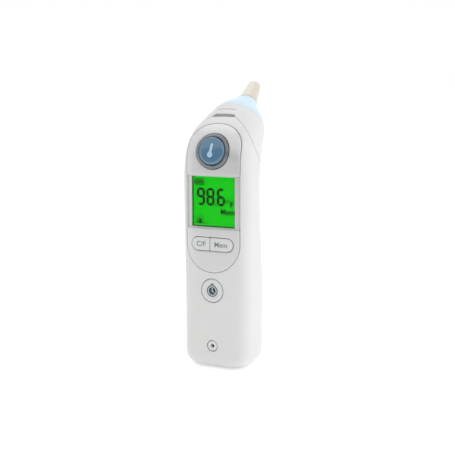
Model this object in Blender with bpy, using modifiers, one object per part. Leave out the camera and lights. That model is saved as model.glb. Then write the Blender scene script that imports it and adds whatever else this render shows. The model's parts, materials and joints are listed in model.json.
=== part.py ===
"""Ear thermometer with a tilted head, a silver control fascia and a disposable probe cover.

The origin is the centre of the flat base, +Z is up, the controls face -Y.
Sizes are written in millimetres and turned into metres where a mesh is made.
"""
import math

import bmesh
import bpy
from mathutils import Matrix, Vector

MM = 0.001

# Handle: an upright rounded box whose front is straight and whose back tapers to a waist.
FRONT_Y = -14.5
REAR_Y_BASE = 16.5
REAR_Y_WAIST = 10.6
TAPER_START_Z = 34.0
TAPER_END_Z = 96.0
HALF_WIDTH_BASE = 18.7
HALF_WIDTH_WAIST = 19.2
CORNER_POWER_FRONT = 4.4
CORNER_POWER_REAR = 3.8
WAIST_Z = 100.0
BASE_ROUNDING = 8.0
WALL = 2.4

# Head: leans back until its end face is square to the probe.
PROBE_TILT = math.radians(48.0)
SEAM_CENTRE = Vector((0.0, 16.9, 128.0))
SEAM_RADIUS = 15.2
BROW_START_Z = 111.5
BROW_RADIUS = 24.0
BROW_ANGLE = math.radians(52.0)
REAR_HANDLE_LOW = 8.0
REAR_HANDLE_HIGH = 9.0
PROBE_AXIS = Vector((0.0, math.sin(PROBE_TILT), math.cos(PROBE_TILT)))
PROBE_BACK = Vector((0.0, math.cos(PROBE_TILT), -math.sin(PROBE_TILT)))

# Fascia and controls, by height along the front.
FASCIA_HALF_WIDTH = 15.3
FASCIA_LOW = 52.4
FASCIA_HIGH = 132.4
FASCIA_THICKNESS = 1.5
FASCIA_LEDGE = 1.8
BAND_LOW = 75.5
BAND_HIGH = 103.3
BAND_DEPTH = 1.0
LCD_HALF_WIDTH = 12.25
LCD_LOW = 76.7
LCD_HIGH = 102.3
LCD_Y = -11.4
MEASURE_S = 116.05
MEASURE_RING_RADIUS = 9.2
MEASURE_CAP_RADIUS = 7.1
RING_STAND = 0.45
KEY_Z = 67.4
KEY_HALF_HEIGHT = 3.4
KEY_HALF_WIDTH = 11.75
KEY_DIVIDER_X = -1.2
TIMER_Z = 42.75
TIMER_RADIUS = 6.15
RELEASE_Z = 12.9
RELEASE_RADIUS = 2.85

# Board and power.
BOARD_FRONT_Y = -7.4
BOARD_THICKNESS = 1.0
BOARD_LOW = 17.5
BOARD_HIGH = 119.5
CELL_RADIUS = 7.25
CELL_LENGTH = 50.5
CELL_X = 7.45
CELL_Y = 2.2
TRAY_HALF_WIDTH = 15.7
TRAY_FRONT_Y = -6.1
TRAY_REAR_Y = 3.5
TRAY_LOW = 15.9
TRAY_HIGH = 73.2
TRAY_WALL = 0.8

# Partings.
GAP = 0.3
DOOR_LOW = 5.5
DOOR_HIGH = 78.0
PARTING_Y_LOW = 11.2
PARTING_Y_HIGH = 5.0
UPPER_SCREW_X = 11.0
UPPER_SCREW_Z = 104.6
HOOD_EDGE = -9.2
HOOD_FLAT_HALF = 5.5
HOOD_DROP = 4.2
HOOD_DROP_SPAN = 6.0
HOOD_DROP_POWER = 1.3

RING_POINTS = 28
TURN_STEPS = 20

COLLECTION = bpy.data.collections.new("ear_thermometer")
CUTTERS = bpy.data.collections.new("cutters")
LOFT_CUTTERS = {}


# ------------------------------------------------------------------ outer shape

def ease(value):
    value = min(1.0, max(0.0, value))
    return value * value * (3.0 - 2.0 * value)


def brow_point(length):
    """Point of the front centreline, by its length measured up from the base."""
    if length <= BROW_START_Z:
        return Vector((0.0, FRONT_Y, length))
    angle = min((length - BROW_START_Z) / BROW_RADIUS, BROW_ANGLE)
    point = Vector((0.0, FRONT_Y + BROW_RADIUS * (1.0 - math.cos(angle)),
                    BROW_START_Z + BROW_RADIUS * math.sin(angle)))
    rest = length - BROW_START_Z - BROW_RADIUS * BROW_ANGLE
    if rest <= 0.0:
        return point
    seam_front = SEAM_CENTRE - SEAM_RADIUS * PROBE_BACK
    return point + (seam_front - point).normalized() * rest


def front_length():
    brow_end = brow_point(BROW_START_Z + BROW_RADIUS * BROW_ANGLE)
    seam_front = SEAM_CENTRE - SEAM_RADIUS * PROBE_BACK
    return BROW_START_Z + BROW_RADIUS * BROW_ANGLE + (seam_front - brow_end).length


def rear_head_point(fraction):
    low = Vector((0.0, REAR_Y_WAIST, WAIST_Z))
    high = SEAM_CENTRE + SEAM_RADIUS * PROBE_BACK
    handles = (low, low + Vector((0.0, 0.0, REAR_HANDLE_LOW)), high - PROBE_AXIS * REAR_HANDLE_HIGH, high)
    weights = ((1 - fraction) ** 3, 3 * (1 - fraction) ** 2 * fraction,
               3 * (1 - fraction) * fraction ** 2, fraction ** 3)
    return sum((point * weight for point, weight in zip(handles, weights)), Vector())


def section(length, inset):
    """Front point, rear point, half width and corner powers of one cross-section."""
    if length <= WAIST_Z:
        rear_y = REAR_Y_BASE + (REAR_Y_WAIST - REAR_Y_BASE) * ease(
            (length - TAPER_START_Z) / (TAPER_END_Z - TAPER_START_Z))
        half = HALF_WIDTH_BASE + (HALF_WIDTH_WAIST - HALF_WIDTH_BASE) * length / WAIST_Z
        front = Vector((0.0, FRONT_Y, length))
        rear = Vector((0.0, rear_y, length))
        powers = (CORNER_POWER_FRONT, CORNER_POWER_REAR)
        below = max(0.0, BASE_ROUNDING - length) / (BASE_ROUNDING - min(inset, BASE_ROUNDING - 1.0))
        if inset <= 0.0:
            below = max(0.0, BASE_ROUNDING - length) / BASE_ROUNDING
        inset = inset + (BASE_ROUNDING - inset) * (1.0 - math.sqrt(max(0.0, 1.0 - below * below)))
    else:
        fraction = (length - WAIST_Z) / (front_length() - WAIST_Z)
        front = brow_point(length)
        rear = rear_head_point(fraction)
        half = HALF_WIDTH_WAIST + (SEAM_RADIUS - HALF_WIDTH_WAIST) * fraction ** 2
        blend = fraction ** 1.4
        powers = (CORNER_POWER_FRONT + (2.0 - CORNER_POWER_FRONT) * blend,
                  CORNER_POWER_REAR + (2.0 - CORNER_POWER_REAR) * blend)
    inward = (rear - front).normalized()
    return front + inward * inset, rear - inward * inset, half - inset, powers


def section_ring(length, inset):
    front, rear, half, powers = section(length, inset)
    centre = (front + rear) / 2
    reach = (rear - front) / 2
    ring = []
    for index in range(RING_POINTS):
        angle = 2 * math.pi * index / RING_POINTS
        side, depth = math.sin(angle), -math.cos(angle)
        power = powers[0] if depth < 0 else powers[1]
        size = (abs(side) ** power + abs(depth) ** power) ** (1 / power)
        ring.append(centre + reach * (depth / size) + Vector((half * side / size, 0, 0)))
    return ring


def body_lengths(inset, end_fraction=1.0):
    """Rows of the loft: close together round the base and over the brow."""
    floor = max(0.0, inset)
    rounding = BASE_ROUNDING - floor
    rows = [floor + rounding * (1.0 - math.cos(math.radians(angle))) for angle in (0, 22, 45, 67, 90)]
    rows += [24.0, 40.0, 52.0, 64.0, 76.0, 88.0, WAIST_Z, 105.3]
    top = WAIST_Z + (front_length() - WAIST_Z) * end_fraction
    brow_rows = 7
    rows += [BROW_START_Z + (top - BROW_START_Z) * step / brow_rows for step in range(brow_rows + 1)]
    return rows


# ------------------------------------------------------------------ making objects

def material(name, colour, roughness, metallic=0.0):
    made = bpy.data.materials.new(name)
    made.use_nodes = True
    made.diffuse_color = (*colour, 1.0)
    shader = made.node_tree.nodes["Principled BSDF"]
    shader.inputs["Base Color"].default_value = (*colour, 1.0)
    shader.inputs["Roughness"].default_value = roughness
    shader.inputs["Metallic"].default_value = metallic
    return made


def register(obj, name, finish):
    obj.name = name
    obj.data.name = name
    obj.data.materials.clear()
    obj.data.materials.append(finish)
    for collection in list(obj.users_collection):
        collection.objects.unlink(obj)
    COLLECTION.objects.link(obj)
    return obj


def as_cutter(obj, name):
    obj.name = name
    for collection in list(obj.users_collection):
        collection.objects.unlink(obj)
    CUTTERS.objects.link(obj)
    obj.hide_render = True
    obj.display_type = "WIRE"
    return obj


def mesh_object(name, bm, location=Vector()):
    """Object from a bmesh in millimetres around its location."""
    bmesh.ops.recalc_face_normals(bm, faces=bm.faces)
    bmesh.ops.transform(bm, matrix=Matrix.Scale(MM, 4), verts=bm.verts)
    mesh = bpy.data.meshes.new(name)
    bm.to_mesh(mesh)
    bm.free()
    obj = bpy.data.objects.new(name, mesh)
    obj.location = location * MM
    CUTTERS.objects.link(obj)
    return obj


def loft(name, rings):
    bm = bmesh.new()
    rows = [[bm.verts.new(point) for point in ring] for ring in rings]
    count = len(rows[0])
    for lower, upper in zip(rows, rows[1:]):
        for index in range(count):
            after = (index + 1) % count
            bm.faces.new((lower[index], lower[after], upper[after], upper[index]))
    bm.faces.new(rows[0])
    bm.faces.new(rows[-1])
    return mesh_object(name, bm)


def body_loft(name, inset, end_fraction=1.0):
    return loft(name, [section_ring(length, inset) for length in body_lengths(inset, end_fraction)])


def loft_cutter(inset, end_fraction=1.0):
    key = (inset, end_fraction)
    if key not in LOFT_CUTTERS:
        LOFT_CUTTERS[key] = as_cutter(body_loft("inside", inset, end_fraction), f"inside_{inset}")
    return LOFT_CUTTERS[key]


def box(name, low, high):
    low, high = Vector(low), Vector(high)
    bm = bmesh.new()
    bmesh.ops.create_cube(bm, size=1.0)
    for vert in bm.verts:
        vert.co = Vector(c * s for c, s in zip(vert.co, high - low))
    return mesh_object(name, bm, (low + high) / 2)


def rod(name, start, end, radius, sides=TURN_STEPS):
    start, end = Vector(start), Vector(end)
    bm = bmesh.new()
    bmesh.ops.create_cone(bm, cap_ends=True, segments=sides, radius1=radius, radius2=radius,
                          depth=(end - start).length)
    turn = (end - start).to_track_quat("Z", "Y").to_matrix().to_4x4()
    half_step = Matrix.Rotation(math.pi / sides, 4, "Z")
    bmesh.ops.transform(bm, matrix=turn @ half_step, verts=bm.verts)
    return mesh_object(name, bm, (start + end) / 2)


def turned(name, profile, base, axis, steps=TURN_STEPS):
    """A profile of (radius, height) points, outer side first from top to bottom, turned about an axis."""
    bm = bmesh.new()
    verts = [bm.verts.new((radius * MM, 0.0, height * MM)) for radius, height in profile]
    for first, second in zip(verts, verts[1:]):
        bm.edges.new((first, second))
    if profile[0][0] > 0.0 and profile[-1][0] > 0.0:
        bm.edges.new((verts[-1], verts[0]))
    mesh = bpy.data.meshes.new(name)
    bm.to_mesh(mesh)
    bm.free()
    obj = bpy.data.objects.new(name, mesh)
    CUTTERS.objects.link(obj)
    obj.location = Vector(base) * MM
    obj.rotation_euler = Vector(axis).to_track_quat("Z", "Y").to_euler()
    screw = obj.modifiers.new("turn", "SCREW")
    screw.angle = 2 * math.pi
    screw.steps = steps
    screw.render_steps = steps
    screw.use_merge_vertices = True
    screw.merge_threshold = 0.00001
    screw.use_smooth_shade = True
    return obj


def prism(name, outline, to_point, start, end):
    """A flat outline pushed along a direction: to_point(u, v, w) places a point."""
    bm = bmesh.new()
    low = [bm.verts.new(to_point(u, v, start)) for u, v in outline]
    high = [bm.verts.new(to_point(u, v, end)) for u, v in outline]
    count = len(outline)
    for index in range(count):
        after = (index + 1) % count
        bm.faces.new((low[index], low[after], high[after], high[index]))
    bm.faces.new(low)
    bm.faces.new(high)
    return mesh_object(name, bm)


def front_prism(name, outline, near=-20.0, far=0.0):
    return prism(name, outline, lambda x, z, y: Vector((x, y, z)), near, far)


def side_prism(name, outline, half=30.0):
    return prism(name, outline, lambda y, z, x: Vector((x, y, z)), -half, half)


def coil(name, base, axis, radius, wire, turns, length):
    """Helical spring as a fine polyline with a round section."""
    points_per_turn = 8
    count = int(turns * points_per_turn)
    turn = Vector(axis).to_track_quat("Z", "Y")
    curve = bpy.data.curves.new(name, "CURVE")
    curve.dimensions = "3D"
    curve.bevel_depth = wire / 2 * MM
    curve.bevel_resolution = 2
    curve.use_fill_caps = True
    spline = curve.splines.new("POLY")
    spline.points.add(count)
    for index, point in enumerate(spline.points):
        angle = 2 * math.pi * index / points_per_turn
        height = wire / 2 + (length - wire) * index / count
        place = turn @ Vector((radius * math.cos(angle), radius * math.sin(angle), height))
        point.co = (*(place * MM), 1.0)
    obj = bpy.data.objects.new(name, curve)
    obj.location = Vector(base) * MM
    CUTTERS.objects.link(obj)
    return obj


def boolean(obj, other, operation="DIFFERENCE", solver="EXACT"):
    step = obj.modifiers.new(operation.lower(), "BOOLEAN")
    step.operation = operation
    step.solver = solver
    step.object = other
    return obj


def remove(obj, *cutters):
    for cutter in cutters:
        boolean(obj, as_cutter(cutter, cutter.name))
    return obj


def keep(obj, region):
    return boolean(obj, as_cutter(region, region.name), "INTERSECT")


def join(obj, *others):
    for other in others:
        boolean(obj, as_cutter(other, other.name), "UNION")
    return obj


# ------------------------------------------------------------------ outlines

def arc(centre, radius, start, end, steps):
    """Points of an arc in degrees, both ends included."""
    angles = [math.radians(start + (end - start) * step / steps) for step in range(steps + 1)]
    return [(centre[0] + radius * math.cos(a), centre[1] + radius * math.sin(a)) for a in angles]


def fascia_outline(grow):
    """Long capsule on the front, as seen from straight ahead."""
    half = FASCIA_HALF_WIDTH + grow
    low_centre = FASCIA_LOW + FASCIA_HALF_WIDTH
    high_centre = FASCIA_HIGH - FASCIA_HALF_WIDTH
    lengths = arc((0.0, low_centre), half, 180, 360, 14) + arc((0.0, high_centre), half, 0, 180, 14)
    return [(x, brow_point(length).z) for x, length in lengths]


def pill_outline(half_width, half_height, centre_z):
    straight = half_width - half_height
    return (arc((straight, centre_z), half_height, -90, 90, 8)
            + arc((-straight, centre_z), half_height, 90, 270, 8))


def key_outline(left):
    whole = pill_outline(KEY_HALF_WIDTH, KEY_HALF_HEIGHT, KEY_Z)
    limit = KEY_DIVIDER_X - GAP / 2 if left else KEY_DIVIDER_X + GAP / 2
    if left:
        kept = [(min(x, limit), z) for x, z in whole if x < 0]
        return [(limit, KEY_Z - KEY_HALF_HEIGHT), (limit, KEY_Z + KEY_HALF_HEIGHT)] + kept
    kept = [(x, z) for x, z in whole if x > 0]
    return kept + [(limit, KEY_Z + KEY_HALF_HEIGHT), (limit, KEY_Z - KEY_HALF_HEIGHT)]


def parting_y(z):
    return PARTING_Y_LOW + (PARTING_Y_HIGH - PARTING_Y_LOW) * min(z, TAPER_END_Z) / TAPER_END_Z


def rear_region(low, high_points, offset):
    """Side view of what lies behind the parting line, above a height."""
    return ([(parting_y(low) + offset, low), (70.0, low)] + high_points)


def hood_edge(x, offset):
    """Height along the probe axis of the hood's lower edge, at a distance from the middle."""
    drop = max(0.0, abs(x) - HOOD_FLAT_HALF) / HOOD_DROP_SPAN
    return HOOD_EDGE - HOOD_DROP * drop ** HOOD_DROP_POWER + offset


def head_place(x, height, back):
    return SEAM_CENTRE + Vector((x, 0.0, 0.0)) + PROBE_AXIS * height + PROBE_BACK * back


def hood_region(offset, far):
    edge = [(x, hood_edge(x, offset)) for x in range(-24, 25, 2)]
    return prism("hood_side", edge + [(24, far), (-24, far)], head_place, -120.0, 120.0)


# ------------------------------------------------------------------ casing

def shell(name):
    return boolean(body_loft(name, 0.0), loft_cutter(WALL, 0.93))


def boss(x, z, near, far):
    return rod("boss", (x, near, z), (x, far, z), 2.2, 16)


def make_casing(white):
    front = shell("front")
    behind = rear_region(DOOR_LOW - GAP, [(70.0, 170.0), (24.0, 170.0), (15.0, 128.0), (9.0, 112.0),
                                          (parting_y(TAPER_END_Z), TAPER_END_Z)], 0.0)
    remove(front, side_prism("behind", behind), hood_region(0.0, 60.0), thumb_scoop(),
           front_prism("opening", fascia_outline(-FASCIA_LEDGE)))
    bosses = [boss(side * UPPER_SCREW_X, UPPER_SCREW_Z, -7.6, 2.0) for side in (-1, 1)]
    bosses += [box("boss_rib", (min(side * UPPER_SCREW_X, side * 17.6), -7.3, UPPER_SCREW_Z - 0.8),
                   (max(side * UPPER_SCREW_X, side * 17.6), -3.0, UPPER_SCREW_Z + 0.8)) for side in (-1, 1)]
    bosses += [boss(side * 10.5, 56.2, -13.2, BOARD_FRONT_Y - GAP) for side in (-1, 1)]
    bosses += [boss(side * 11.0, RELEASE_Z + 0.4, -12.8, TRAY_FRONT_Y - GAP) for side in (-1, 1)]
    for post in bosses:
        boolean(front, as_cutter(post, "boss"), "UNION", "MANIFOLD")
    pocket = front_prism("pocket", fascia_outline(GAP))
    boolean(pocket, loft_cutter(FASCIA_THICKNESS + 0.4))
    remove(front, pocket)
    pilot_places = ((UPPER_SCREW_X, UPPER_SCREW_Z, -7.2), (10.5, 56.2, -12.4), (11.0, RELEASE_Z + 0.4, -12.4))
    pilots = [rod("pilot", (side * x, near, z), (side * x, 8.0, z), 1.2, 12)
              for x, z, near in pilot_places for side in (-1, 1)]
    remove(front, *pilots)
    remove(front, rod("timer_hole", (0, -20, TIMER_Z), (0, -10, TIMER_Z), TIMER_RADIUS + GAP),
           rod("release_hole", (0, -20, RELEASE_Z), (0, -10, RELEASE_Z), RELEASE_RADIUS + GAP))
    register(front, "front_housing", white)

    rear = shell("rear")
    upper = rear_region(DOOR_HIGH + GAP, [(70.0, 170.0), (24.3, 170.0), (15.3, 128.0), (9.3, 112.0),
                                          (parting_y(TAPER_END_Z) + GAP, TAPER_END_Z)], GAP)
    keep(rear, side_prism("upper_rear", upper))
    remove(rear, hood_region(0.0, 60.0))
    for side in (-1, 1):
        x = side * UPPER_SCREW_X
        remove(rear, rod("head_recess", (x, 7.9, UPPER_SCREW_Z), (x, 30, UPPER_SCREW_Z), 2.3, 16),
               rod("screw_hole", (x, 2.0, UPPER_SCREW_Z), (x, 30, UPPER_SCREW_Z), 1.3, 12))
    register(rear, "rear_housing", white)

    door = shell("door")
    keep(door, side_prism("lower_rear", rear_region(
        DOOR_LOW, [(70.0, DOOR_HIGH), (parting_y(DOOR_HIGH) + GAP, DOOR_HIGH)], GAP)))
    join(door, box("release_tab", (-3.0, 10.6, 11.5), (3.0, 15.3, 14.3)))
    register(door, "battery_door", white)

    hood = shell("hood")
    remove(hood, hood_region_below(), rod("neck_hole", head_place(0, -12, 0), head_place(0, 8, 0), 6.9))
    remove(hood, thumb_scoop())
    register(hood, "ejector_hood", white)


def thumb_scoop():
    """Rounded groove across the brow, half in the casing and half in the hood."""
    middle = HOOD_EDGE + 0.3
    return rod("thumb_scoop", head_place(-5.8, middle, -16.3), head_place(5.8, middle, -16.3), 1.35, 16)


def hood_region_below():
    edge = [(x, hood_edge(x, GAP)) for x in range(-24, 25, 2)]
    return prism("hood_below", edge + [(24, -160), (-24, -160)], head_place, -120.0, 160.0)


# ------------------------------------------------------------------ front controls

def make_fascia(silver, clear, foam):
    panel = boolean(body_loft("panel", 0.1), loft_cutter(FASCIA_THICKNESS + 0.1))
    keep(panel, front_prism("panel_outline", fascia_outline(0.0)))
    band = boolean(box("band", (-20, -20, BAND_LOW), (20, 0, BAND_HIGH)), loft_cutter(BAND_DEPTH))
    display_hole = box("display_hole", (-LCD_HALF_WIDTH - 0.4, -20, LCD_LOW - 0.4),
                       (LCD_HALF_WIDTH + 0.4, 0, LCD_HIGH + 0.4))
    remove(panel, band, display_hole,
           front_prism("key_hole", pill_outline(KEY_HALF_WIDTH + GAP, KEY_HALF_HEIGHT + GAP, KEY_Z)))
    ring_hole = rod("ring_hole", *measure_span(-4.0, 6.0), MEASURE_RING_RADIUS + GAP, 28)
    boolean(panel, as_cutter(ring_hole, "ring_hole"), "DIFFERENCE", "MANIFOLD")
    register(panel, "fascia_panel", silver)

    window = boolean(body_loft("window", 0.1), loft_cutter(0.7))
    keep(window, front_prism("window_side", fascia_outline(0.0)))
    keep(window, box("window_band", (-20, -20, BAND_LOW + GAP), (20, 0, BAND_HIGH - GAP)))
    register(window, "display_window", clear)

    gasket = box("gasket", (-12.95, -11.5, LCD_LOW - 0.9), (12.95, -11.25, LCD_HIGH + 0.9))
    remove(gasket, box("gasket_hole", (-LCD_HALF_WIDTH - 0.2, -14, LCD_LOW - 0.2),
                       (LCD_HALF_WIDTH + 0.2, -11, LCD_HIGH + 0.2)))
    register(gasket, "display_gasket", foam)


def measure_normal():
    angle = (MEASURE_S - BROW_START_Z) / BROW_RADIUS
    return Vector((0.0, -math.cos(angle), math.sin(angle)))


def measure_span(outside, inside):
    """Two points on the measuring button's axis, by their depth below the surface."""
    centre = brow_point(MEASURE_S)
    return centre - measure_normal() * outside, centre - measure_normal() * inside


def make_buttons(ring_grey, blue, key_grey, white):
    ring = rod("ring", *measure_span(-3.0, 5.0), MEASURE_RING_RADIUS, 28)
    boolean(ring, loft_cutter(-RING_STAND), "INTERSECT")
    boolean(ring, loft_cutter(2.2))
    remove(ring, rod("cap_hole", *measure_span(-4.0, 6.0), MEASURE_CAP_RADIUS + GAP, 28))
    register(ring, "button_ring", ring_grey)

    cap_profile = [(0.0, 2.0), (2.6, 1.93), (4.8, 1.76), (6.4, 1.45), (MEASURE_CAP_RADIUS, 0.75),
                   (MEASURE_CAP_RADIUS, -4.3), (7.9, -4.3), (7.9, -4.7), (1.6, -4.7), (1.6, -4.9), (0.0, -4.9)]
    cap = turned("cap", cap_profile, brow_point(MEASURE_S), measure_normal(), 28)
    register(cap, "measure_button", blue)

    for name, left, stem_x in (("cf_button", True, -6.6), ("mem_button", False, 5.4)):
        key = boolean(body_loft("key", -0.15), loft_cutter(1.9))
        keep(key, front_prism("key_side", key_outline(left)))
        join(key, rod("stem", (stem_x, -13.0, KEY_Z), (stem_x, -8.9, KEY_Z), 1.4, 16))
        register(key, name, key_grey)

    timer_profile = [(0.0, 0.25), (3.9, 0.25), (4.3, 0.6), (5.7, 0.6), (TIMER_RADIUS, 0.15),
                     (TIMER_RADIUS, -2.5), (7.4, -2.5), (7.4, -3.1), (1.5, -3.1), (1.5, -5.2), (0.0, -5.2)]
    timer = turned("timer", timer_profile, (0, FRONT_Y + 0.4, TIMER_Z), (0, -1, 0), 24)
    register(timer, "timer_button", key_grey)

    release_profile = [(0.0, -1.9), (0.9, -1.9), (1.1, 0.0), (2.5, 0.0), (RELEASE_RADIUS, -0.4),
                       (RELEASE_RADIUS, -3.0), (1.4, -3.0), (1.4, -23.3), (0.0, -23.3)]
    release = turned("release", release_profile, (0, FRONT_Y + 0.1, RELEASE_Z), (0, -1, 0), 16)
    register(release, "release_button", white)


# ------------------------------------------------------------------ display and board

def make_display(frame_black, glass, acrylic, led_white, zebra):
    frame = box("frame", (-13.4, -10.95, 75.5), (13.4, -8.0, 103.5))
    remove(frame, box("frame_hole", (-12.55, -13, 76.4), (12.55, -7, 102.6)))
    register(frame, "lcd_frame", frame_black)
    register(box("lcd", (-LCD_HALF_WIDTH, LCD_Y, LCD_LOW), (LCD_HALF_WIDTH, LCD_Y + 1.6, LCD_HIGH)),
             "lcd_panel", glass)
    register(box("guide", (-LCD_HALF_WIDTH, -9.5, 79.2), (LCD_HALF_WIDTH, -8.1, 99.3)),
             "light_guide", acrylic)
    for name, x in (("backlight_led_left", -5.0), ("backlight_led_right", 5.0)):
        register(box("led", (x - 1.6, -9.5, 76.9), (x + 1.6, -8.1, 78.9)), name, led_white)
    register(box("zebra", (-11.0, -9.5, 99.7), (11.0, -7.7, 102.0)), "zebra_strip", zebra)


def make_board(green, chip_black, steel, black):
    rear = BOARD_FRONT_Y + BOARD_THICKNESS
    outline = [(-12.6, BOARD_LOW), (12.6, BOARD_LOW), (12.6, 101.2), (8.4, 102.0), (8.4, 117.0),
               (6.0, BOARD_HIGH), (-6.0, BOARD_HIGH), (-8.4, 117.0), (-8.4, 102.0), (-12.6, 101.2)]
    board = front_prism("board", outline, BOARD_FRONT_Y, rear)
    for side in (-1, 1):
        remove(board, rod("board_hole", (side * 10.5, -12, 56.2), (side * 10.5, 0, 56.2), 1.3, 12))
    register(board, "main_board", green)
    domes = (("measure_dome", 0.0, 115.4), ("cf_dome", -6.6, KEY_Z), ("mem_dome", 5.4, KEY_Z),
             ("timer_dome", 0.0, TIMER_Z))
    for name, x, z in domes:
        dome = turned(name, [(0.0, 0.55), (1.5, 0.45), (2.6, 0.15), (2.9, 0.0), (0.0, 0.0)],
                      (x, BOARD_FRONT_Y - GAP, z), (0, -1, 0), 16)
        register(dome, name, steel)
    register(box("chip", (-4.5, rear + GAP, 82.0), (4.5, rear + 1.5, 91.0)), "controller_chip", chip_black)
    buzzer = turned("buzzer", [(0.0, 2.6), (1.0, 2.6), (1.2, 3.0), (5.2, 3.0), (5.5, 2.7), (5.5, 0.0), (0, 0)],
                    (0, rear + GAP, 98.5), (0, 1, 0), 24)
    register(buzzer, "buzzer", black)
    register(box("connector", (-3.5, rear + GAP, 107.5), (3.5, rear + 1.6, 110.0)), "flex_connector", black)


# ------------------------------------------------------------------ power and fasteners

def make_power(tray_grey, jacket, steel):
    outer = box("tray", (-TRAY_HALF_WIDTH, TRAY_FRONT_Y, 10.6), (TRAY_HALF_WIDTH, TRAY_REAR_Y, 77.6))
    wall_rear = TRAY_FRONT_Y + TRAY_WALL
    wide = TRAY_HALF_WIDTH + 1
    remove(outer,
           box("cell_room", (-TRAY_HALF_WIDTH + 0.8, wall_rear, TRAY_LOW + 1.2),
               (TRAY_HALF_WIDTH - 0.8, 9, TRAY_HIGH - 1.2)),
           box("above_tray", (-wide, wall_rear, TRAY_HIGH), (wide, 9, 80)),
           box("below_tray", (-wide, wall_rear, 9), (wide, 9, TRAY_LOW)),
           rod("plunger_hole", (0, -9, RELEASE_Z), (0, 0, RELEASE_Z), 1.8, 16))
    for side in (-1, 1):
        remove(outer,
               rod("tray_hole", (side * 11.0, -9, RELEASE_Z + 0.4), (side * 11.0, 0, RELEASE_Z + 0.4),
                   1.25, 12),
               rod("head_room", (side * 10.5, -9, 56.2), (side * 10.5, -4, 56.2), 2.3, 16))
    register(outer, "battery_tray", tray_grey)

    cell_profile = [(0.0, CELL_LENGTH), (2.6, CELL_LENGTH), (2.7, CELL_LENGTH - 1.3), (6.7, CELL_LENGTH - 1.4),
                    (CELL_RADIUS, CELL_LENGTH - 2.0), (CELL_RADIUS, 0.5), (6.8, 0.0), (0.0, 0.0)]
    spring_room = 2.6
    low_z = TRAY_LOW + 2.1
    register(turned("cell", cell_profile, (-CELL_X, CELL_Y, low_z + spring_room), (0, 0, 1), 32),
             "battery_left", jacket)
    register(turned("cell", cell_profile, (CELL_X, CELL_Y, low_z + CELL_LENGTH), (0, 0, -1), 32),
             "battery_right", jacket)
    register(coil("low_spring", (-CELL_X, CELL_Y, low_z), (0, 0, 1), 3.0, 0.45, 3.5, spring_room - GAP),
             "contact_spring_lower", steel)
    register(coil("high_spring", (CELL_X, CELL_Y, low_z + CELL_LENGTH + GAP), (0, 0, 1), 3.0, 0.45, 3.5,
                  spring_room - 2 * GAP), "contact_spring_upper", steel)
    plate_z = TRAY_LOW + 1.5
    register(box("bridge", (-13.0, -2.0, plate_z), (13.0, 7.0, plate_z + 0.3)), "bridge_plate", steel)
    top_z = low_z + CELL_LENGTH + spring_room + GAP
    for name, x in (("positive_plate", -CELL_X), ("negative_plate", CELL_X)):
        register(box("plate", (x - 4.5, -2.0, top_z - 0.15), (x + 4.5, 7.0, top_z + 0.15)), name, steel)


def make_screws(steel):
    head = [(0.0, 0.9), (1.4, 0.9), (2.0, 0.5), (2.0, 0.0), (0.9, 0.0)]
    places = [("tray_screw", 11.0, TRAY_FRONT_Y + TRAY_WALL + GAP, RELEASE_Z + 0.4, 6.0),
              ("board_screw", 10.5, BOARD_FRONT_Y + BOARD_THICKNESS + 0.25, 56.2, 5.0),
              ("housing_screw", UPPER_SCREW_X, 8.2, UPPER_SCREW_Z, 14.0)]
    for kind, x, y, z, reach in places:
        for number, side in ((1, -1), (2, 1)):
            profile = head + [(0.85, -reach + 0.8), (0.0, -reach)]
            screw = turned(kind, profile, (side * x, y, z), (0, 1, 0), 12)
            register(screw, f"{kind}_{number}", steel)


def make_release_spring(steel):
    spring = coil("release", (0, -11.0, RELEASE_Z), (0, 1, 0), 2.1, 0.35, 5, 4.6)
    register(spring, "release_spring", steel)


# ------------------------------------------------------------------ probe and ejector

def on_probe(name, profile, steps=TURN_STEPS):
    return turned(name, profile, SEAM_CENTRE, PROBE_AXIS, steps)


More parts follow.
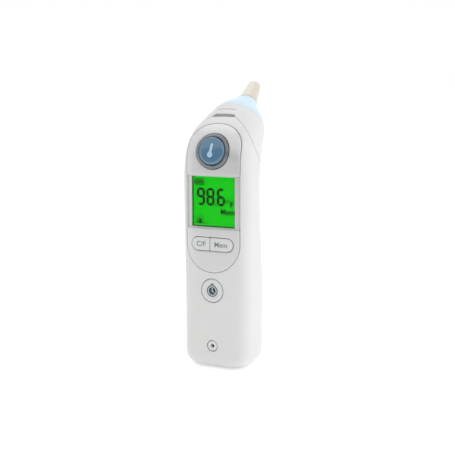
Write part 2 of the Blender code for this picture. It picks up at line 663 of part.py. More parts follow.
def make_probe(grey, gold, steel, window, heater, flex_orange, black):
    mount = on_probe("mount", [(10.5, -4.6), (10.5, -15.0), (4.0, -15.0), (4.0, -13.5), (7.0, -13.5), (7.0, -4.6)])
    plate = prism("mount_plate", [(-12.8, -15.0), (12.8, -15.0), (12.8, -13.6), (-12.8, -13.6)],
                  head_place, -5.0, 5.0)
    remove(plate, rod("mount_bore", head_place(0, -20, 0), head_place(0, -10, 0), 8.0))
    join(mount, plate)
    register(mount, "probe_mount", grey)

    core = on_probe("core", [(3.1, 30.6), (3.6, 20.0), (3.6, 14.6), (5.2, 14.6), (5.2, 13.4), (3.6, 13.4),
                             (3.6, -15.3), (5.6, -15.3), (5.6, -16.8), (2.7, -16.8), (2.7, 22.0),
                             (2.45, 22.6), (2.45, 30.6)])
    register(core, "probe_core", grey)

    sensor = [(0.0, 21.0), (2.2, 21.0), (2.2, 18.6), (2.4, 18.6), (2.4, 18.0), (0.0, 18.0)]
    register(on_probe("sensor", sensor, 20), "thermopile_sensor", steel)
    heater_profile = [(2.2, 29.0), (2.2, 23.4), (1.9, 23.4), (1.9, 29.0)]
    register(on_probe("heater", heater_profile, 20), "heater_ring", heater)
    guide_profile = [(1.6, 29.9), (1.6, 21.4), (1.25, 21.4), (1.25, 29.9)]
    register(on_probe("guide", guide_profile, 20), "waveguide", gold)
    register(on_probe("window", [(0.0, 30.6), (2.15, 30.6), (2.15, 30.2), (0.0, 30.2)], 20),
             "probe_window", window)

    route = [head_place(0, 17.6, 0), head_place(0, -17.0, 0), head_place(0, -19.0, -1.2),
             Vector((0, -0.5, 113.2)), Vector((0, -3.2, 111.6)), Vector((0, -5.4, 110.5))]
    flex = bpy.data.curves.new("flex", "CURVE")
    flex.dimensions = "3D"
    flex.bevel_depth = 0.6 * MM
    flex.bevel_resolution = 2
    flex.use_fill_caps = True
    spline = flex.splines.new("POLY")
    spline.points.add(len(route) - 1)
    for point, place in zip(spline.points, route):
        point.co = (*(place * MM), 1.0)
    flex_obj = bpy.data.objects.new("flex", flex)
    register(flex_obj, "sensor_flex", flex_orange)

    switch = prism("switch", [(-1.2, 14.9), (1.2, 14.9), (1.2, 16.3), (-1.2, 16.3)], head_place, -4.95, -3.95)
    register(switch, "cover_switch", black)
    register(rod("pin", head_place(0, 16.6, -4.3), head_place(0, 17.4, -4.3), 0.35, 12),
             "cover_detector_pin", steel)


def make_ejector(light_blue, white, steel, film):
    outer = [(5.75, 17.3), (6.15, 16.2), (7.15, 14.4), (8.7, 12.0), (10.7, 9.0), (12.9, 6.0), (14.3, 3.2),
             (15.1, 0.35)]
    inner = [(13.8, 0.35), (12.9, 3.6), (11.6, 6.0), (9.4, 9.0), (7.4, 12.0), (6.0, 14.8), (5.0, 17.3)]
    register(on_probe("collar", outer + inner, 28), "ejector_collar", light_blue)

    sleeve = [(6.5, 6.0), (6.5, 1.6), (9.0, 1.6), (9.0, 0.35), (6.5, 0.35), (6.5, -12.4), (5.6, -12.4),
              (5.6, 4.9), (4.0, 4.9), (4.0, 6.0)]
    register(on_probe("sleeve", sleeve), "ejector_sleeve", white)

    spring = coil("ejector", head_place(0, 6.3, 0), PROBE_AXIS, 4.4, 0.5, 4.5, 6.8)
    register(spring, "ejector_spring", steel)

    cover = [(0.0, 32.7), (2.0, 32.5), (3.2, 31.5), (3.65, 30.0), (4.3, 24.0), (5.2, 18.1), (5.6, 18.1),
             (5.6, 17.6), (4.0, 17.6), (4.0, 17.9), (4.85, 18.4), (4.05, 24.0), (3.4, 30.0), (3.0, 31.1),
             (1.9, 32.1), (0.0, 32.3)]
    register(on_probe("cover", cover), "probe_cover", film)


# ------------------------------------------------------------------ assembly

def main():
    for obj in list(bpy.data.objects):
        bpy.data.objects.remove(obj, do_unlink=True)
    bpy.context.scene.collection.children.link(COLLECTION)
    bpy.context.scene.collection.children.link(CUTTERS)

    white = material("white_shell", (0.86, 0.86, 0.85), 0.35)
    silver = material("silver_fascia", (0.62, 0.63, 0.62), 0.38, 0.35)
    clear = material("clear_window", (0.80, 0.84, 0.82), 0.08)
    foam = material("black_foam", (0.03, 0.03, 0.03), 0.9)
    ring_grey = material("ring_grey", (0.12, 0.16, 0.20), 0.2)
    blue = material("blue_cap", (0.14, 0.27, 0.43), 0.25)
    key_grey = material("key_grey", (0.66, 0.67, 0.67), 0.4)
    frame_grey = material("frame_grey", (0.45, 0.46, 0.46), 0.5)
    glass = material("lit_display", (0.02, 0.62, 0.03), 0.2)
    acrylic = material("acrylic", (0.75, 0.85, 0.76), 0.15)
    led_white = material("led_white", (0.9, 0.9, 0.8), 0.3)
    rubber = material("dark_rubber", (0.05, 0.05, 0.05), 0.8)
    board_green = material("board_green", (0.03, 0.22, 0.09), 0.45)
    steel = material("bright_steel", (0.72, 0.72, 0.72), 0.25, 1.0)
    tray_grey = material("tray_grey", (0.30, 0.31, 0.32), 0.55)
    jacket = material("cell_jacket", (0.05, 0.05, 0.06), 0.3)
    probe_grey = material("probe_grey", (0.55, 0.56, 0.57), 0.45)
    gold = material("gold_plate", (0.86, 0.65, 0.28), 0.15, 1.0)
    heater = material("heater_film", (0.55, 0.30, 0.10), 0.45)
    flex = material("flex_orange", (0.75, 0.36, 0.08), 0.4)
    light_blue = material("light_blue", (0.55, 0.76, 0.90), 0.3)
    film = material("cover_film", (0.80, 0.76, 0.66), 0.3)

    make_casing(white)
    make_fascia(silver, clear, foam)
    make_buttons(ring_grey, blue, key_grey, white)
    make_display(frame_grey, glass, acrylic, led_white, rubber)
    make_board(board_green, rubber, steel, rubber)
    make_power(tray_grey, jacket, steel)
    make_screws(steel)
    make_release_spring(steel)
    make_probe(probe_grey, gold, steel, clear, heater, flex, rubber)
    make_ejector(light_blue, white, steel, film)


main()
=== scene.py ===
"""Ear thermometer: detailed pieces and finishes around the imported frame.

The shape code works in millimetres, and a mesh is turned into metres when its object is made.
The controls face -Y, +Z is up, and the base rests on the ground at the origin.
"""
import json
import math
from functools import lru_cache

import bmesh
import bpy
from bpy.props import FloatProperty, FloatVectorProperty, IntProperty, PointerProperty, StringProperty
from mathutils import Matrix, Vector
from mathutils.bvhtree import BVHTree

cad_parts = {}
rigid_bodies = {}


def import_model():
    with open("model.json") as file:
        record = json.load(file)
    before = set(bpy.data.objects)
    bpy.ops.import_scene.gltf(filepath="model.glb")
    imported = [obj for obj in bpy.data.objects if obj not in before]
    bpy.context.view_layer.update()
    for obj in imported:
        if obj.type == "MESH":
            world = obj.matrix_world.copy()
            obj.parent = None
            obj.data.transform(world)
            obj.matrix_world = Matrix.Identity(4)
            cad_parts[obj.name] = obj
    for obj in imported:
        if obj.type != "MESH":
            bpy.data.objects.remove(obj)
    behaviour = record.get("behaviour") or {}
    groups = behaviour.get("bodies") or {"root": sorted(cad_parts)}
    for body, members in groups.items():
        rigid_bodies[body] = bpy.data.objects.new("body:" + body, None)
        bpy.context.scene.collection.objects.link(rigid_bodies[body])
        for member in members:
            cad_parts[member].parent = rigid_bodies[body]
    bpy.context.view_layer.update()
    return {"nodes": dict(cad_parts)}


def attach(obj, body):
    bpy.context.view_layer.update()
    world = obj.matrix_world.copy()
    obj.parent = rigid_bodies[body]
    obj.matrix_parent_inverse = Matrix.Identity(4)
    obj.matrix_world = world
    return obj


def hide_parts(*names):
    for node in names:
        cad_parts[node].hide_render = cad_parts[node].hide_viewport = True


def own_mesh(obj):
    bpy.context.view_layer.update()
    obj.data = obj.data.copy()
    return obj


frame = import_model()

bl_info = {
    "name": "Ear thermometer",
    "version": (1, 0, 0),
    "blender": (4, 5, 0),
    "location": "View3D > Sidebar > Thermometer",
    "description": "Builds the visible pieces of an ear thermometer around its packed frame",
    "category": "Object",
}

MM = 0.001

# Handle and head, as in the frame.
FRONT_Y = -14.5
REAR_Y_BASE, REAR_Y_WAIST = 16.5, 10.6
TAPER_START_Z, TAPER_END_Z = 34.0, 96.0
HALF_WIDTH_BASE, HALF_WIDTH_WAIST = 18.7, 19.2
CORNER_POWER_FRONT, CORNER_POWER_REAR = 4.4, 3.8
WAIST_Z = 100.0
BASE_ROUNDING = 8.0
PROBE_TILT = math.radians(48.0)
PROBE_AXIS = Vector((0.0, math.sin(PROBE_TILT), math.cos(PROBE_TILT)))
PROBE_BACK = Vector((0.0, math.cos(PROBE_TILT), -math.sin(PROBE_TILT)))
SEAM_CENTRE = Vector((0.0, 16.9, 128.0))
SEAM_RADIUS = 15.2
# Radius and height of the hood's rim and end face, from the outside in.
RIM = ((15.2, 0.0), (15.2, 0.95), (15.14, 1.13), (15.0, 1.22), (14.86, 1.13), (14.8, 0.95), (14.8, 0.3),
       (14.65, 0.1), (14.4, 0.0), (12.0, 0.0), (9.0, 0.0), (6.6, 0.0))
BROW_START_Z = 111.5
BROW_RADIUS = 24.0
BROW_ANGLE = math.radians(52.0)
REAR_HANDLE_LOW, REAR_HANDLE_HIGH = 8.0, 9.0

# Partings between the casing pieces.
GAP = 0.3
SEAM_GAP = 0.14
DOOR_LOW, DOOR_HIGH = 5.5, 78.0
PARTING = ((0.0, 11.2), (96.0, 5.0), (112.0, 9.0), (128.0, 15.0), (170.0, 24.0))
HOOD_EDGE, HOOD_FLAT_HALF, HOOD_DROP, HOOD_DROP_SPAN, HOOD_DROP_POWER = -9.2, 5.5, 4.2, 6.0, 1.3
GROOVE_HALF_WIDTH, GROOVE_HALF_HEIGHT = 5.2, 1.3

# Fascia and controls.
FASCIA_HALF_WIDTH, FASCIA_LOW, FASCIA_HIGH = 15.3, 52.4, 132.4
BAND_LOW, BAND_HIGH = 75.5, 103.3
LCD_HALF_WIDTH, LCD_LOW, LCD_HIGH, LCD_Y = 12.25, 76.7, 102.3, -11.4
MEASURE_LENGTH, RING_RADIUS, CAP_RADIUS = 116.05, 9.2, 7.1
CAP_CROWN, CAP_FALL = 2.0, 0.0134
KEY_Z, KEY_HALF_HEIGHT, KEY_HALF_WIDTH, KEY_DIVIDER_X = 67.4, 3.4, 11.75, -1.2
TIMER_Z, TIMER_RADIUS = 42.75, 6.15
RELEASE_Z, RELEASE_RADIUS = 12.9, 2.85
SCREW_X, SCREW_Z = 11.0, 104.6
CELL_X, CELL_Y = 7.45, 2.2

# How far faces stand off the outer surface, and the heights of inks on the glass.
PANEL_DEPTH, KEY_STAND, LCD_MARGIN = 0.1, 0.15, 0.4
TIMER_FACE_Y, RELEASE_FACE_Y = FRONT_Y + 0.4, FRONT_Y + 0.1
INK_LOW, INK_HIGH, PRINT_HALF = 0.01, 0.06, 0.03

# Camera, in metres and radians.
CAMERA_LENS = 77.33
CAMERA_PLACE = (0.220976, -0.464731, 0.153978)
CAMERA_TURN, CAMERA_PITCH = math.radians(25.219), math.radians(8.802)


# ------------------------------------------------------------------ settings

def size(label, about, default):
    return FloatProperty(name=label, description=about, default=default, min=0.0, unit="LENGTH")


def colour(label, about, default):
    return FloatVectorProperty(name=label, description=about, default=default, size=3,
                               min=0.0, max=1.0, subtype="COLOR")


class CasingSettings(bpy.types.PropertyGroup):
    wall: size("Wall", "Thickness of the moulded casing", 0.0024)
    edge: size("Edge rounding", "Rounding of every edge where two mouldings meet", 0.00028)
    shell: colour("Shell", "Colour of the white mouldings", (0.705, 0.705, 0.70))
    # The groove colour is painted shade: the grey sheet at the bottom of the thumb groove stands in for the
    # shadow inside it.
    groove: colour("Groove", "Colour at the bottom of the thumb groove", (0.36, 0.36, 0.37))


class FasciaSettings(bpy.types.PropertyGroup):
    thickness: size("Thickness", "Thickness of the fascia panel", 0.0015)
    edge: size("Edge rounding", "Rounding of the panel's rim", 0.0004)
    silver: colour("Silver", "Colour of the satin fascia", (0.66, 0.665, 0.66))
    tint: colour("Window", "Tint of the clear window", (0.22, 0.24, 0.23))


class DisplaySettings(bpy.types.PropertyGroup):
    lit: colour("Backlight", "Colour of the lit display", (0.0, 0.60, 0.0))
    ink: colour("Segments", "Colour of the dark segments", (0.0, 0.012, 0.0))
    stroke: size("Stroke", "Width of a digit's segment", 0.0014)
    reading: StringProperty(name="Reading", description="Digits on the display, with one point",
                            default="98.6")


class ButtonSettings(bpy.types.PropertyGroup):
    cap: colour("Cap", "Colour of the measuring button", (0.095, 0.20, 0.30))
    ring: colour("Ring", "Colour of the ring round it", (0.17, 0.19, 0.21))
    icon: colour("Icon", "Colour of the mark on the measuring button", (0.42, 0.62, 0.80))
    key: colour("Key", "Colour of the grey keys", (0.68, 0.685, 0.69))
    legend: colour("Legend", "Colour of the printed legends", (0.20, 0.21, 0.22))
    clock: colour("Clock", "Colour of the timer button's mark", (0.035, 0.06, 0.085))
    ring_height: size("Ring height", "How far the ring stands above the fascia", 0.00045)


class ProbeSettings(bpy.types.PropertyGroup):
    collar: colour("Collar", "Colour of the light blue collar", (0.60, 0.77, 0.89))
    film: colour("Cover", "Colour of the disposable cover", (0.84, 0.80, 0.72))
    steps: IntProperty(name="Steps", description="Facets round a turned piece", default=112,
                       min=24, max=256)


class PowerSettings(bpy.types.PropertyGroup):
    jacket: colour("Jacket", "Colour of the cells' jackets", (0.05, 0.055, 0.065))
    band: colour("Band", "Colour of the cells' upper band", (0.62, 0.42, 0.16))
    wire: size("Wire", "Wire of the contact springs", 0.00045)


class StageSettings(bpy.types.PropertyGroup):
    floor: colour("Floor", "Colour of the floor", (0.92, 0.92, 0.92))
    surround: FloatProperty(name="Surround", description="Strength of the even white light",
                            default=1.0, min=0.0)
    key: FloatProperty(name="Side light", description="Power of the light on the right", default=0.36,
                       min=0.0, unit="POWER")


SETTINGS = {"casing": CasingSettings, "fascia": FasciaSettings, "display": DisplaySettings,
            "buttons": ButtonSettings, "probe": ProbeSettings, "power": PowerSettings,
            "stage": StageSettings}


def settings(context, name):
    return getattr(context.scene, "thermometer_" + name)


# ------------------------------------------------------------------ outer surface

def ease(value):
    value = min(1.0, max(0.0, value))
    return value * value * (3.0 - 2.0 * value)


@lru_cache(maxsize=None)
def brow_point(length):
    """Point of the front centreline, by its length measured up from the base."""
    if length <= BROW_START_Z:
        return Vector((0.0, FRONT_Y, length))
    angle = min((length - BROW_START_Z) / BROW_RADIUS, BROW_ANGLE)
    point = Vector((0.0, FRONT_Y + BROW_RADIUS * (1.0 - math.cos(angle)),
                    BROW_START_Z + BROW_RADIUS * math.sin(angle)))
    rest = length - BROW_START_Z - BROW_RADIUS * BROW_ANGLE
    if rest <= 0.0:
        return point
    return point + (SEAM_CENTRE - SEAM_RADIUS * PROBE_BACK - point).normalized() * rest


BROW_END = brow_point(BROW_START_Z + BROW_RADIUS * BROW_ANGLE)
HEAD_LENGTH = (BROW_START_Z + BROW_RADIUS * BROW_ANGLE
               + (SEAM_CENTRE - SEAM_RADIUS * PROBE_BACK - BROW_END).length)


def rear_head_point(fraction):
    low = Vector((0.0, REAR_Y_WAIST, WAIST_Z))
    high = SEAM_CENTRE + SEAM_RADIUS * PROBE_BACK
    handles = (low, low + Vector((0.0, 0.0, REAR_HANDLE_LOW)), high - PROBE_AXIS * REAR_HANDLE_HIGH, high)
    left = 1.0 - fraction
    weights = (left ** 3, 3 * left ** 2 * fraction, 3 * left * fraction ** 2, fraction ** 3)
    return sum((point * weight for point, weight in zip(handles, weights)), Vector())


@lru_cache(maxsize=None)
def section(length):
    """Centre, half depth, half width and corner powers of the casing's cross-section."""
    if length <= WAIST_Z:
        rear_y = REAR_Y_BASE + (REAR_Y_WAIST - REAR_Y_BASE) * ease(
            (length - TAPER_START_Z) / (TAPER_END_Z - TAPER_START_Z))
        half = HALF_WIDTH_BASE + (HALF_WIDTH_WAIST - HALF_WIDTH_BASE) * length / WAIST_Z
        front, rear = Vector((0.0, FRONT_Y, length)), Vector((0.0, rear_y, length))
        powers = (CORNER_POWER_FRONT, CORNER_POWER_REAR)
        below = max(0.0, BASE_ROUNDING - length) / BASE_ROUNDING
        inset = BASE_ROUNDING * (1.0 - math.sqrt(1.0 - below * below))
    else:
        fraction = (length - WAIST_Z) / (HEAD_LENGTH - WAIST_Z)
        front, rear = brow_point(length), rear_head_point(fraction)
        half = HALF_WIDTH_WAIST + (SEAM_RADIUS - HALF_WIDTH_WAIST) * fraction ** 2
        blend = fraction ** 1.4
        powers = (CORNER_POWER_FRONT + (2.0 - CORNER_POWER_FRONT) * blend,
                  CORNER_POWER_REAR + (2.0 - CORNER_POWER_REAR) * blend)
        inset = 0.0
    inward = (rear - front).normalized()
    return (front + rear) / 2, (rear - front) / 2 - inward * inset, half - inset, powers


def surface(angle, length):
    """Point of the outer surface: angle 0 faces the front, length runs up the front centreline.

    Past the head's length, each further 1 is one step over the hood's rim.
    """
    side, depth = math.sin(angle), -math.cos(angle)
    if length > HEAD_LENGTH:
        step = min(int(length - HEAD_LENGTH), len(RIM) - 2)
        part = length - HEAD_LENGTH - step
        radius, height = (RIM[step][i] + (RIM[step + 1][i] - RIM[step][i]) * part for i in (0, 1))
        return head_place(radius * side, height, radius * depth)
    centre, reach, half, powers = section(length)
    power = powers[0] if depth < 0 else powers[1]
    extent = (abs(side) ** power + abs(depth) ** power) ** (1 / power)
    return centre + reach * (depth / extent) + Vector((half * side / extent, 0.0, 0.0))


def head_place(x, height, back):
    """Point of the head, by its height along the probe and its distance behind the probe's axis."""
    return SEAM_CENTRE + Vector((x, 0.0, 0.0)) + PROBE_AXIS * height + PROBE_BACK * back


def probe_height(point):
    return (point - SEAM_CENTRE).dot(PROBE_AXIS)


# ------------------------------------------------------------------ edges of the skin pieces
# Each one is positive where the material ends, and falls about 1 for each millimetre inside.

def parting_y(z):
    for (low_z, low_y), (high_z, high_y) in zip(PARTING, PARTING[1:]):
        if z <= high_z:
            break
    return low_y + (high_y - low_y) * (z - low_z) / (high_z - low_z)


def behind_parting(point):
    return min(point.y - parting_y(point.z), point.z - DOOR_LOW + GAP)


def before_parting(point):
    return parting_y(point.z) + GAP - point.y


def hood_edge(x):
    drop = max(0.0, abs(x) - HOOD_FLAT_HALF) / HOOD_DROP_SPAN
    return HOOD_EDGE - HOOD_DROP * drop ** HOOD_DROP_POWER


def above_hood_edge(point):
    return probe_height(point) - hood_edge(point.x)


def below_hood_edge(point):
    return hood_edge(point.x) + GAP - probe_height(point)


def groove(point):
    """Distance inside the crescent where the thumb catches the hood."""
    if point.y > SEAM_CENTRE.y:
        return -BASE_ROUNDING
    aside = max(0.0, abs(point.x) - GROOVE_HALF_WIDTH)
    along = probe_height(point) - HOOD_EDGE - GAP / 2
    return GROOVE_HALF_HEIGHT - math.hypot(aside, along)


def front_length_at(z):
    """Length up the front centreline at a height."""
    if z <= BROW_START_Z:
        return z
    return BROW_START_Z + BROW_RADIUS * math.asin(min(1.0, (z - BROW_START_Z) / BROW_RADIUS))


def outside_capsule(point, grow=0.0):
    """Distance outside the fascia's outline."""
    if point.y > 0.0:
        return FASCIA_HALF_WIDTH
    along = front_length_at(point.z)
    low, high = FASCIA_LOW + FASCIA_HALF_WIDTH, FASCIA_HIGH - FASCIA_HALF_WIDTH
    beyond = max(low - along, 0.0, along - high)
    return math.hypot(point.x, beyond) - FASCIA_HALF_WIDTH - grow


def inside_disc(centre_x, centre_z, radius):
    def field(point):
        if point.y > 0.0:
            return -radius
        return radius - math.hypot(point.x - centre_x, point.z - centre_z)
    return field


def outside_pill(point, grow=0.0):
    aside = max(0.0, abs(point.x) - KEY_HALF_WIDTH + KEY_HALF_HEIGHT)
    return math.hypot(aside, point.z - KEY_Z) - KEY_HALF_HEIGHT - grow


def inside_ring_hole(point):
    away = point - MEASURE_CENTRE
    along = away.dot(MEASURE_NORMAL)
    return RING_RADIUS + GAP - (away - MEASURE_NORMAL * along).length


MEASURE_ANGLE = (MEASURE_LENGTH - BROW_START_Z) / BROW_RADIUS
MEASURE_NORMAL = Vector((0.0, -math.cos(MEASURE_ANGLE), math.sin(MEASURE_ANGLE)))
MEASURE_UP = Vector((0.0, math.sin(MEASURE_ANGLE), math.cos(MEASURE_ANGLE)))
MEASURE_CENTRE = brow_point(MEASURE_LENGTH)


# ------------------------------------------------------------------ making objects

def finished(name, bm, finish, body, replaced=()):
    """Object in metres at the origin, smooth but for its real edges, riding on its body."""
    bmesh.ops.scale(bm, vec=(MM, MM, MM), verts=bm.verts)
    mesh = bpy.data.meshes.new(name)
    bm.to_mesh(mesh)
    bm.free()
    return placed(name, mesh, finish, body, replaced)


def placed(name, mesh, finish, body, replaced=()):
    mesh.materials.clear()
    mesh.materials.append(finish)
    mesh.polygons.foreach_set("use_smooth", [True] * len(mesh.polygons))
    mesh.set_sharp_from_angle(angle=math.radians(36.0))
    obj = bpy.data.objects.new(name, mesh)
    bpy.context.scene.collection.objects.link(obj)
    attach(obj, body)
    if replaced:
        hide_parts(*replaced)
    return obj


def steps(start, end, spacing):
    count = max(1, math.ceil(abs(end - start) / spacing))
    return [start + (end - start) * step / count for step in range(count + 1)]


def skin_grid(lengths, columns=180, floor=False):
    """Rows of the outer surface, which remember their angle and length for later cuts."""
    bm = bmesh.new()
    angle_layer = bm.verts.layers.float.new("angle")
    length_layer = bm.verts.layers.float.new("length")
    rows = []
    for length in lengths:
        row = []
        for column in range(columns):
            angle = 2 * math.pi * column / columns
            vert = bm.verts.new(surface(angle, length))
            vert[angle_layer], vert[length_layer] = angle, length
            row.append(vert)
        rows.append(row)
    for lower, upper in zip(rows, rows[1:]):
        for column in range(columns):
            after = (column + 1) % columns
            bm.faces.new((lower[column], lower[after], upper[after], upper[column]))
    if floor:
        bm.faces.new(list(reversed(rows[0])))
    return bm


def trim(bm, field):
    """Cuts the surface along the line where the field is zero, and drops what lies beyond it."""
    angle_layer = bm.verts.layers.float["angle"]
    length_layer = bm.verts.layers.float["length"]
    value = {vert: field(vert.co) for vert in bm.verts}
    # A dict, not a set, keeps its order, so that every run numbers the points alike.
    line = dict.fromkeys(vert for vert in bm.verts if abs(value[vert]) < 0.004)
    for edge in list(bm.edges):
        first, second = edge.verts
        if first in line or second in line or (value[first] > 0) == (value[second] > 0):
            continue
        angles = [first[angle_layer], second[angle_layer]]
        if abs(angles[0] - angles[1]) > math.pi:
            angles = [a + 2 * math.pi if a < math.pi else a for a in angles]
        lengths = first[length_layer], second[length_layer]
        low, high, low_value, high_value = 0.0, 1.0, value[first], value[second]
        for _ in range(5):
            between = low + (high - low) * low_value / (low_value - high_value)
            angle = angles[0] + (angles[1] - angles[0]) * between
            length = lengths[0] + (lengths[1] - lengths[0]) * between
            point = surface(angle, length)
            found = field(point)
            if (found > 0) == (low_value > 0):
                low, low_value = between, found
            else:
                high, high_value = between, found
            if abs(found) < 0.002:
                break
        vert = bmesh.utils.edge_split(edge, first, 0.5)[1]
        vert.co = point
        vert[angle_layer], vert[length_layer] = angle, length
        value[vert] = 0.0
        line[vert] = None
    for vert in line:
        value[vert] = 0.0
    bmesh.ops.connect_verts(bm, verts=list(line))
    drop = []
    for face in bm.faces:
        total = sum(value[vert] for vert in face.verts)
        if total > 0 or (total == 0 and field(face.calc_center_median()) > 0):
            drop.append(face)
    bmesh.ops.delete(bm, geom=drop, context="FACES")


def thicken(bm, wall, lip, fields, tuck=None):
    """Closes a trimmed surface into a moulding with rounded edges and an inner wall."""
    bm.normal_update()
    faces, verts = list(bm.faces), list(bm.verts)
    normal = {vert: vert.normal.copy() for vert in verts}
    borders = [edge for edge in bm.edges if edge.is_boundary]
    outward = {}
    for vert in dict.fromkeys(vert for edge in borders for vert in edge.verts):
        across = normal[vert].orthogonal().normalized()
        along = normal[vert].cross(across)
        slope = Vector()
        for way in (across, along):
            reach = way * 0.05
            ahead = max(field(vert.co + reach) for field in fields)
            slope += way * (ahead - max(field(vert.co - reach) for field in fields))
        outward[vert] = slope.normalized()
    rounds = []
    for turn in (30.0, 60.0, 90.0):
        turn = math.radians(turn)
        rounds.append({vert: bm.verts.new(vert.co + way * (lip * math.sin(turn))
                                          - normal[vert] * (lip * (1.0 - math.cos(turn))))
                       for vert, way in outward.items()})
    inner = {}
    for vert in verts:
        place = vert.co - normal[vert] * wall + outward.get(vert, Vector()) * lip
        inner[vert] = bm.verts.new(tuck(place) if tuck else place)
    rounds.append({vert: inner[vert] for vert in outward})
    for face in faces:
        bm.faces.new([inner[vert] for vert in reversed(face.verts)])
    for edge in borders:
        loop = edge.link_loops[0]
        first, second = loop.vert, loop.link_loop_next.vert
        before = (second, first)
        for ring in rounds:
            after = (ring[second], ring[first])
            bm.faces.new((before[0], before[1], after[1], after[0]))
            before = after


def skin_piece(lengths, fields, wall, lip, depth=0.0, floor=False, tuck=None, columns=180):
    """Moulding that follows the outer surface, kept where every field is negative."""
    bm = skin_grid(lengths, columns, floor)
    for field in fields:
        trim(bm, lambda point, field=field: field(point) + lip)
    if depth:
        bm.normal_update()
        for vert in bm.verts:
            vert.co -= vert.normal * depth
    thicken(bm, wall, lip, fields, tuck)
    return bm


def rounded(profile, radius, parts=4):
    """Profile whose corners are rounded, apart from its two ends."""
    points = [Vector(point) for point in profile]
    smooth = [points[0]]
    for before, corner, after in zip(points, points[1:], points[2:]):
        to_before, to_after = before - corner, after - corner
        cut = min(radius, to_before.length * 0.45, to_after.length * 0.45)
        start, end = corner + to_before.normalized() * cut, corner + to_after.normalized() * cut
        for part in range(parts + 1):
            share_done = part / parts
            smooth.append(start * (1 - share_done) ** 2 + corner * (2 * share_done * (1 - share_done))
                          + end * share_done ** 2)
    smooth.append(points[-1])
    return smooth


def turned(profile, base, axis, count, closed=False, bm=None):
    """Rings of a profile of (radius, height) points, outer side from top to bottom, about an axis."""
    bm = bm or bmesh.new()
    turn = Vector(axis).to_track_quat("Z", "Y")
    base = Vector(base)
    rows = []
    for radius, height in profile:
        if radius < 1e-6:
            rows.append([bm.verts.new(base + turn @ Vector((0.0, 0.0, height)))])
            continue
        angles = [2 * math.pi * step / count for step in range(count)]
        ring = [Vector((radius * math.cos(angle), radius * math.sin(angle), height)) for angle in angles]
        rows.append([bm.verts.new(base + turn @ point) for point in ring])
    pairs = list(zip(rows, rows[1:])) + ([(rows[-1], rows[0])] if closed else [])
    made = []
    for upper, lower in pairs:
        for step in range(count):
            after = (step + 1) % count
            if len(upper) == 1 and len(lower) == 1:
                continue
            if len(upper) == 1:
                made.append(bm.faces.new((upper[0], lower[step], lower[after])))
            elif len(lower) == 1:
                made.append(bm.faces.new((upper[step], lower[0], upper[after])))
            else:
                made.append(bm.faces.new((upper[step], lower[step], lower[after], upper[after])))
    bmesh.ops.recalc_face_normals(bm, faces=made)
    return bm


def slab(bm, outline, place, low, high):
    """Closed plate from a flat outline: place(u, v, w) puts a point."""
    bottom = [bm.verts.new(place(u, v, low)) for u, v in outline]
    top = [bm.verts.new(place(u, v, high)) for u, v in outline]
    faces = [bm.faces.new(bottom), bm.faces.new(top)]
    for index in range(len(outline)):
        after = (index + 1) % len(outline)
        faces.append(bm.faces.new((bottom[index], bottom[after], top[after], top[index])))
    bmesh.ops.recalc_face_normals(bm, faces=faces)


def arc(centre, radius, start, end, count):
    angles = [math.radians(start + (end - start) * step / count) for step in range(count + 1)]
    return [(centre[0] + radius * math.cos(a), centre[1] + radius * math.sin(a)) for a in angles]


def annulus(bm, centre, outer, inner, place, low, high, count=48):
    """Closed flat ring."""
    whole = arc(centre, outer, 0, 360, count)
    hole = arc(centre, inner, 0, 360, count)
    for index in range(count):
        slab_part = [whole[index], whole[index + 1], hole[index + 1], hole[index]]
        slab(bm, slab_part, place, low, high)
    bmesh.ops.remove_doubles(bm, verts=bm.verts, dist=1e-5)
    inside = [face for face in bm.faces if any(not edge.is_manifold and len(edge.link_faces) > 2
                                               for edge in face.edges) and len(face.verts) == 4
              and sum(len(edge.link_faces) > 2 for edge in face.edges) == 4]
    bmesh.ops.delete(bm, geom=inside, context="FACES_ONLY")


def lettering(text, height, centre, place, raised, weight=0.012):
    """Short legend as a thin closed mesh, with its middle at a point of the face it is printed on."""
    curve = bpy.data.curves.new("legend", "FONT")
    curve.body = text
    curve.size = 1.0
    curve.resolution_u = 4
    curve.offset = weight
    curve.extrude = 0.5
    obj = bpy.data.objects.new("legend", curve)
    bpy.context.scene.collection.objects.link(obj)
    bpy.context.view_layer.update()
    mesh = bpy.data.meshes.new_from_object(obj.evaluated_get(bpy.context.evaluated_depsgraph_get()))
    bpy.data.objects.remove(obj)
    bpy.data.curves.remove(curve)
    bm = bmesh.new()
    bm.from_mesh(mesh)
    bpy.data.meshes.remove(mesh)
    bmesh.ops.remove_doubles(bm, verts=bm.verts, dist=1e-4)
    low = Vector(min(vert.co[i] for vert in bm.verts) for i in range(3))
    high = Vector(max(vert.co[i] for vert in bm.verts) for i in range(3))
    middle, scale = (low + high) / 2, height / (high.y - low.y)
    for vert in bm.verts:
        u = centre[0] + (vert.co.x - middle.x) * scale
        v = centre[1] + (vert.co.y - middle.y) * scale
        vert.co = place(u, v, raised if vert.co.z > middle.z else -raised)
    bmesh.ops.recalc_face_normals(bm, faces=bm.faces)
    return bm


def merged(target, *others):
    for other in others:
        mesh = bpy.data.meshes.new("part")
        other.to_mesh(mesh)
        other.free()
        target.from_mesh(mesh)
        bpy.data.meshes.remove(mesh)
    return target


@lru_cache(maxsize=None)
def skin_tree():
    bm = skin_grid(steps(30.0, 136.0, 0.8))
    bm.normal_update()
    tree = BVHTree.FromBMesh(bm)
    bm.free()
    return tree


def raised(start, way, out):
    """Point where the way from the start meets the outer surface, raised off it by a distance."""
    point, normal, _, _ = skin_tree().ray_cast(start, way)
    return point - normal * math.copysign(1.0, normal.dot(way)) * out


def on_skin(x, z, out):
    """Point straight behind (x, z) on the front surface, raised along its normal."""
    return raised(Vector((x, -40.0, z)), Vector((0.0, 1.0, 0.0)), out)


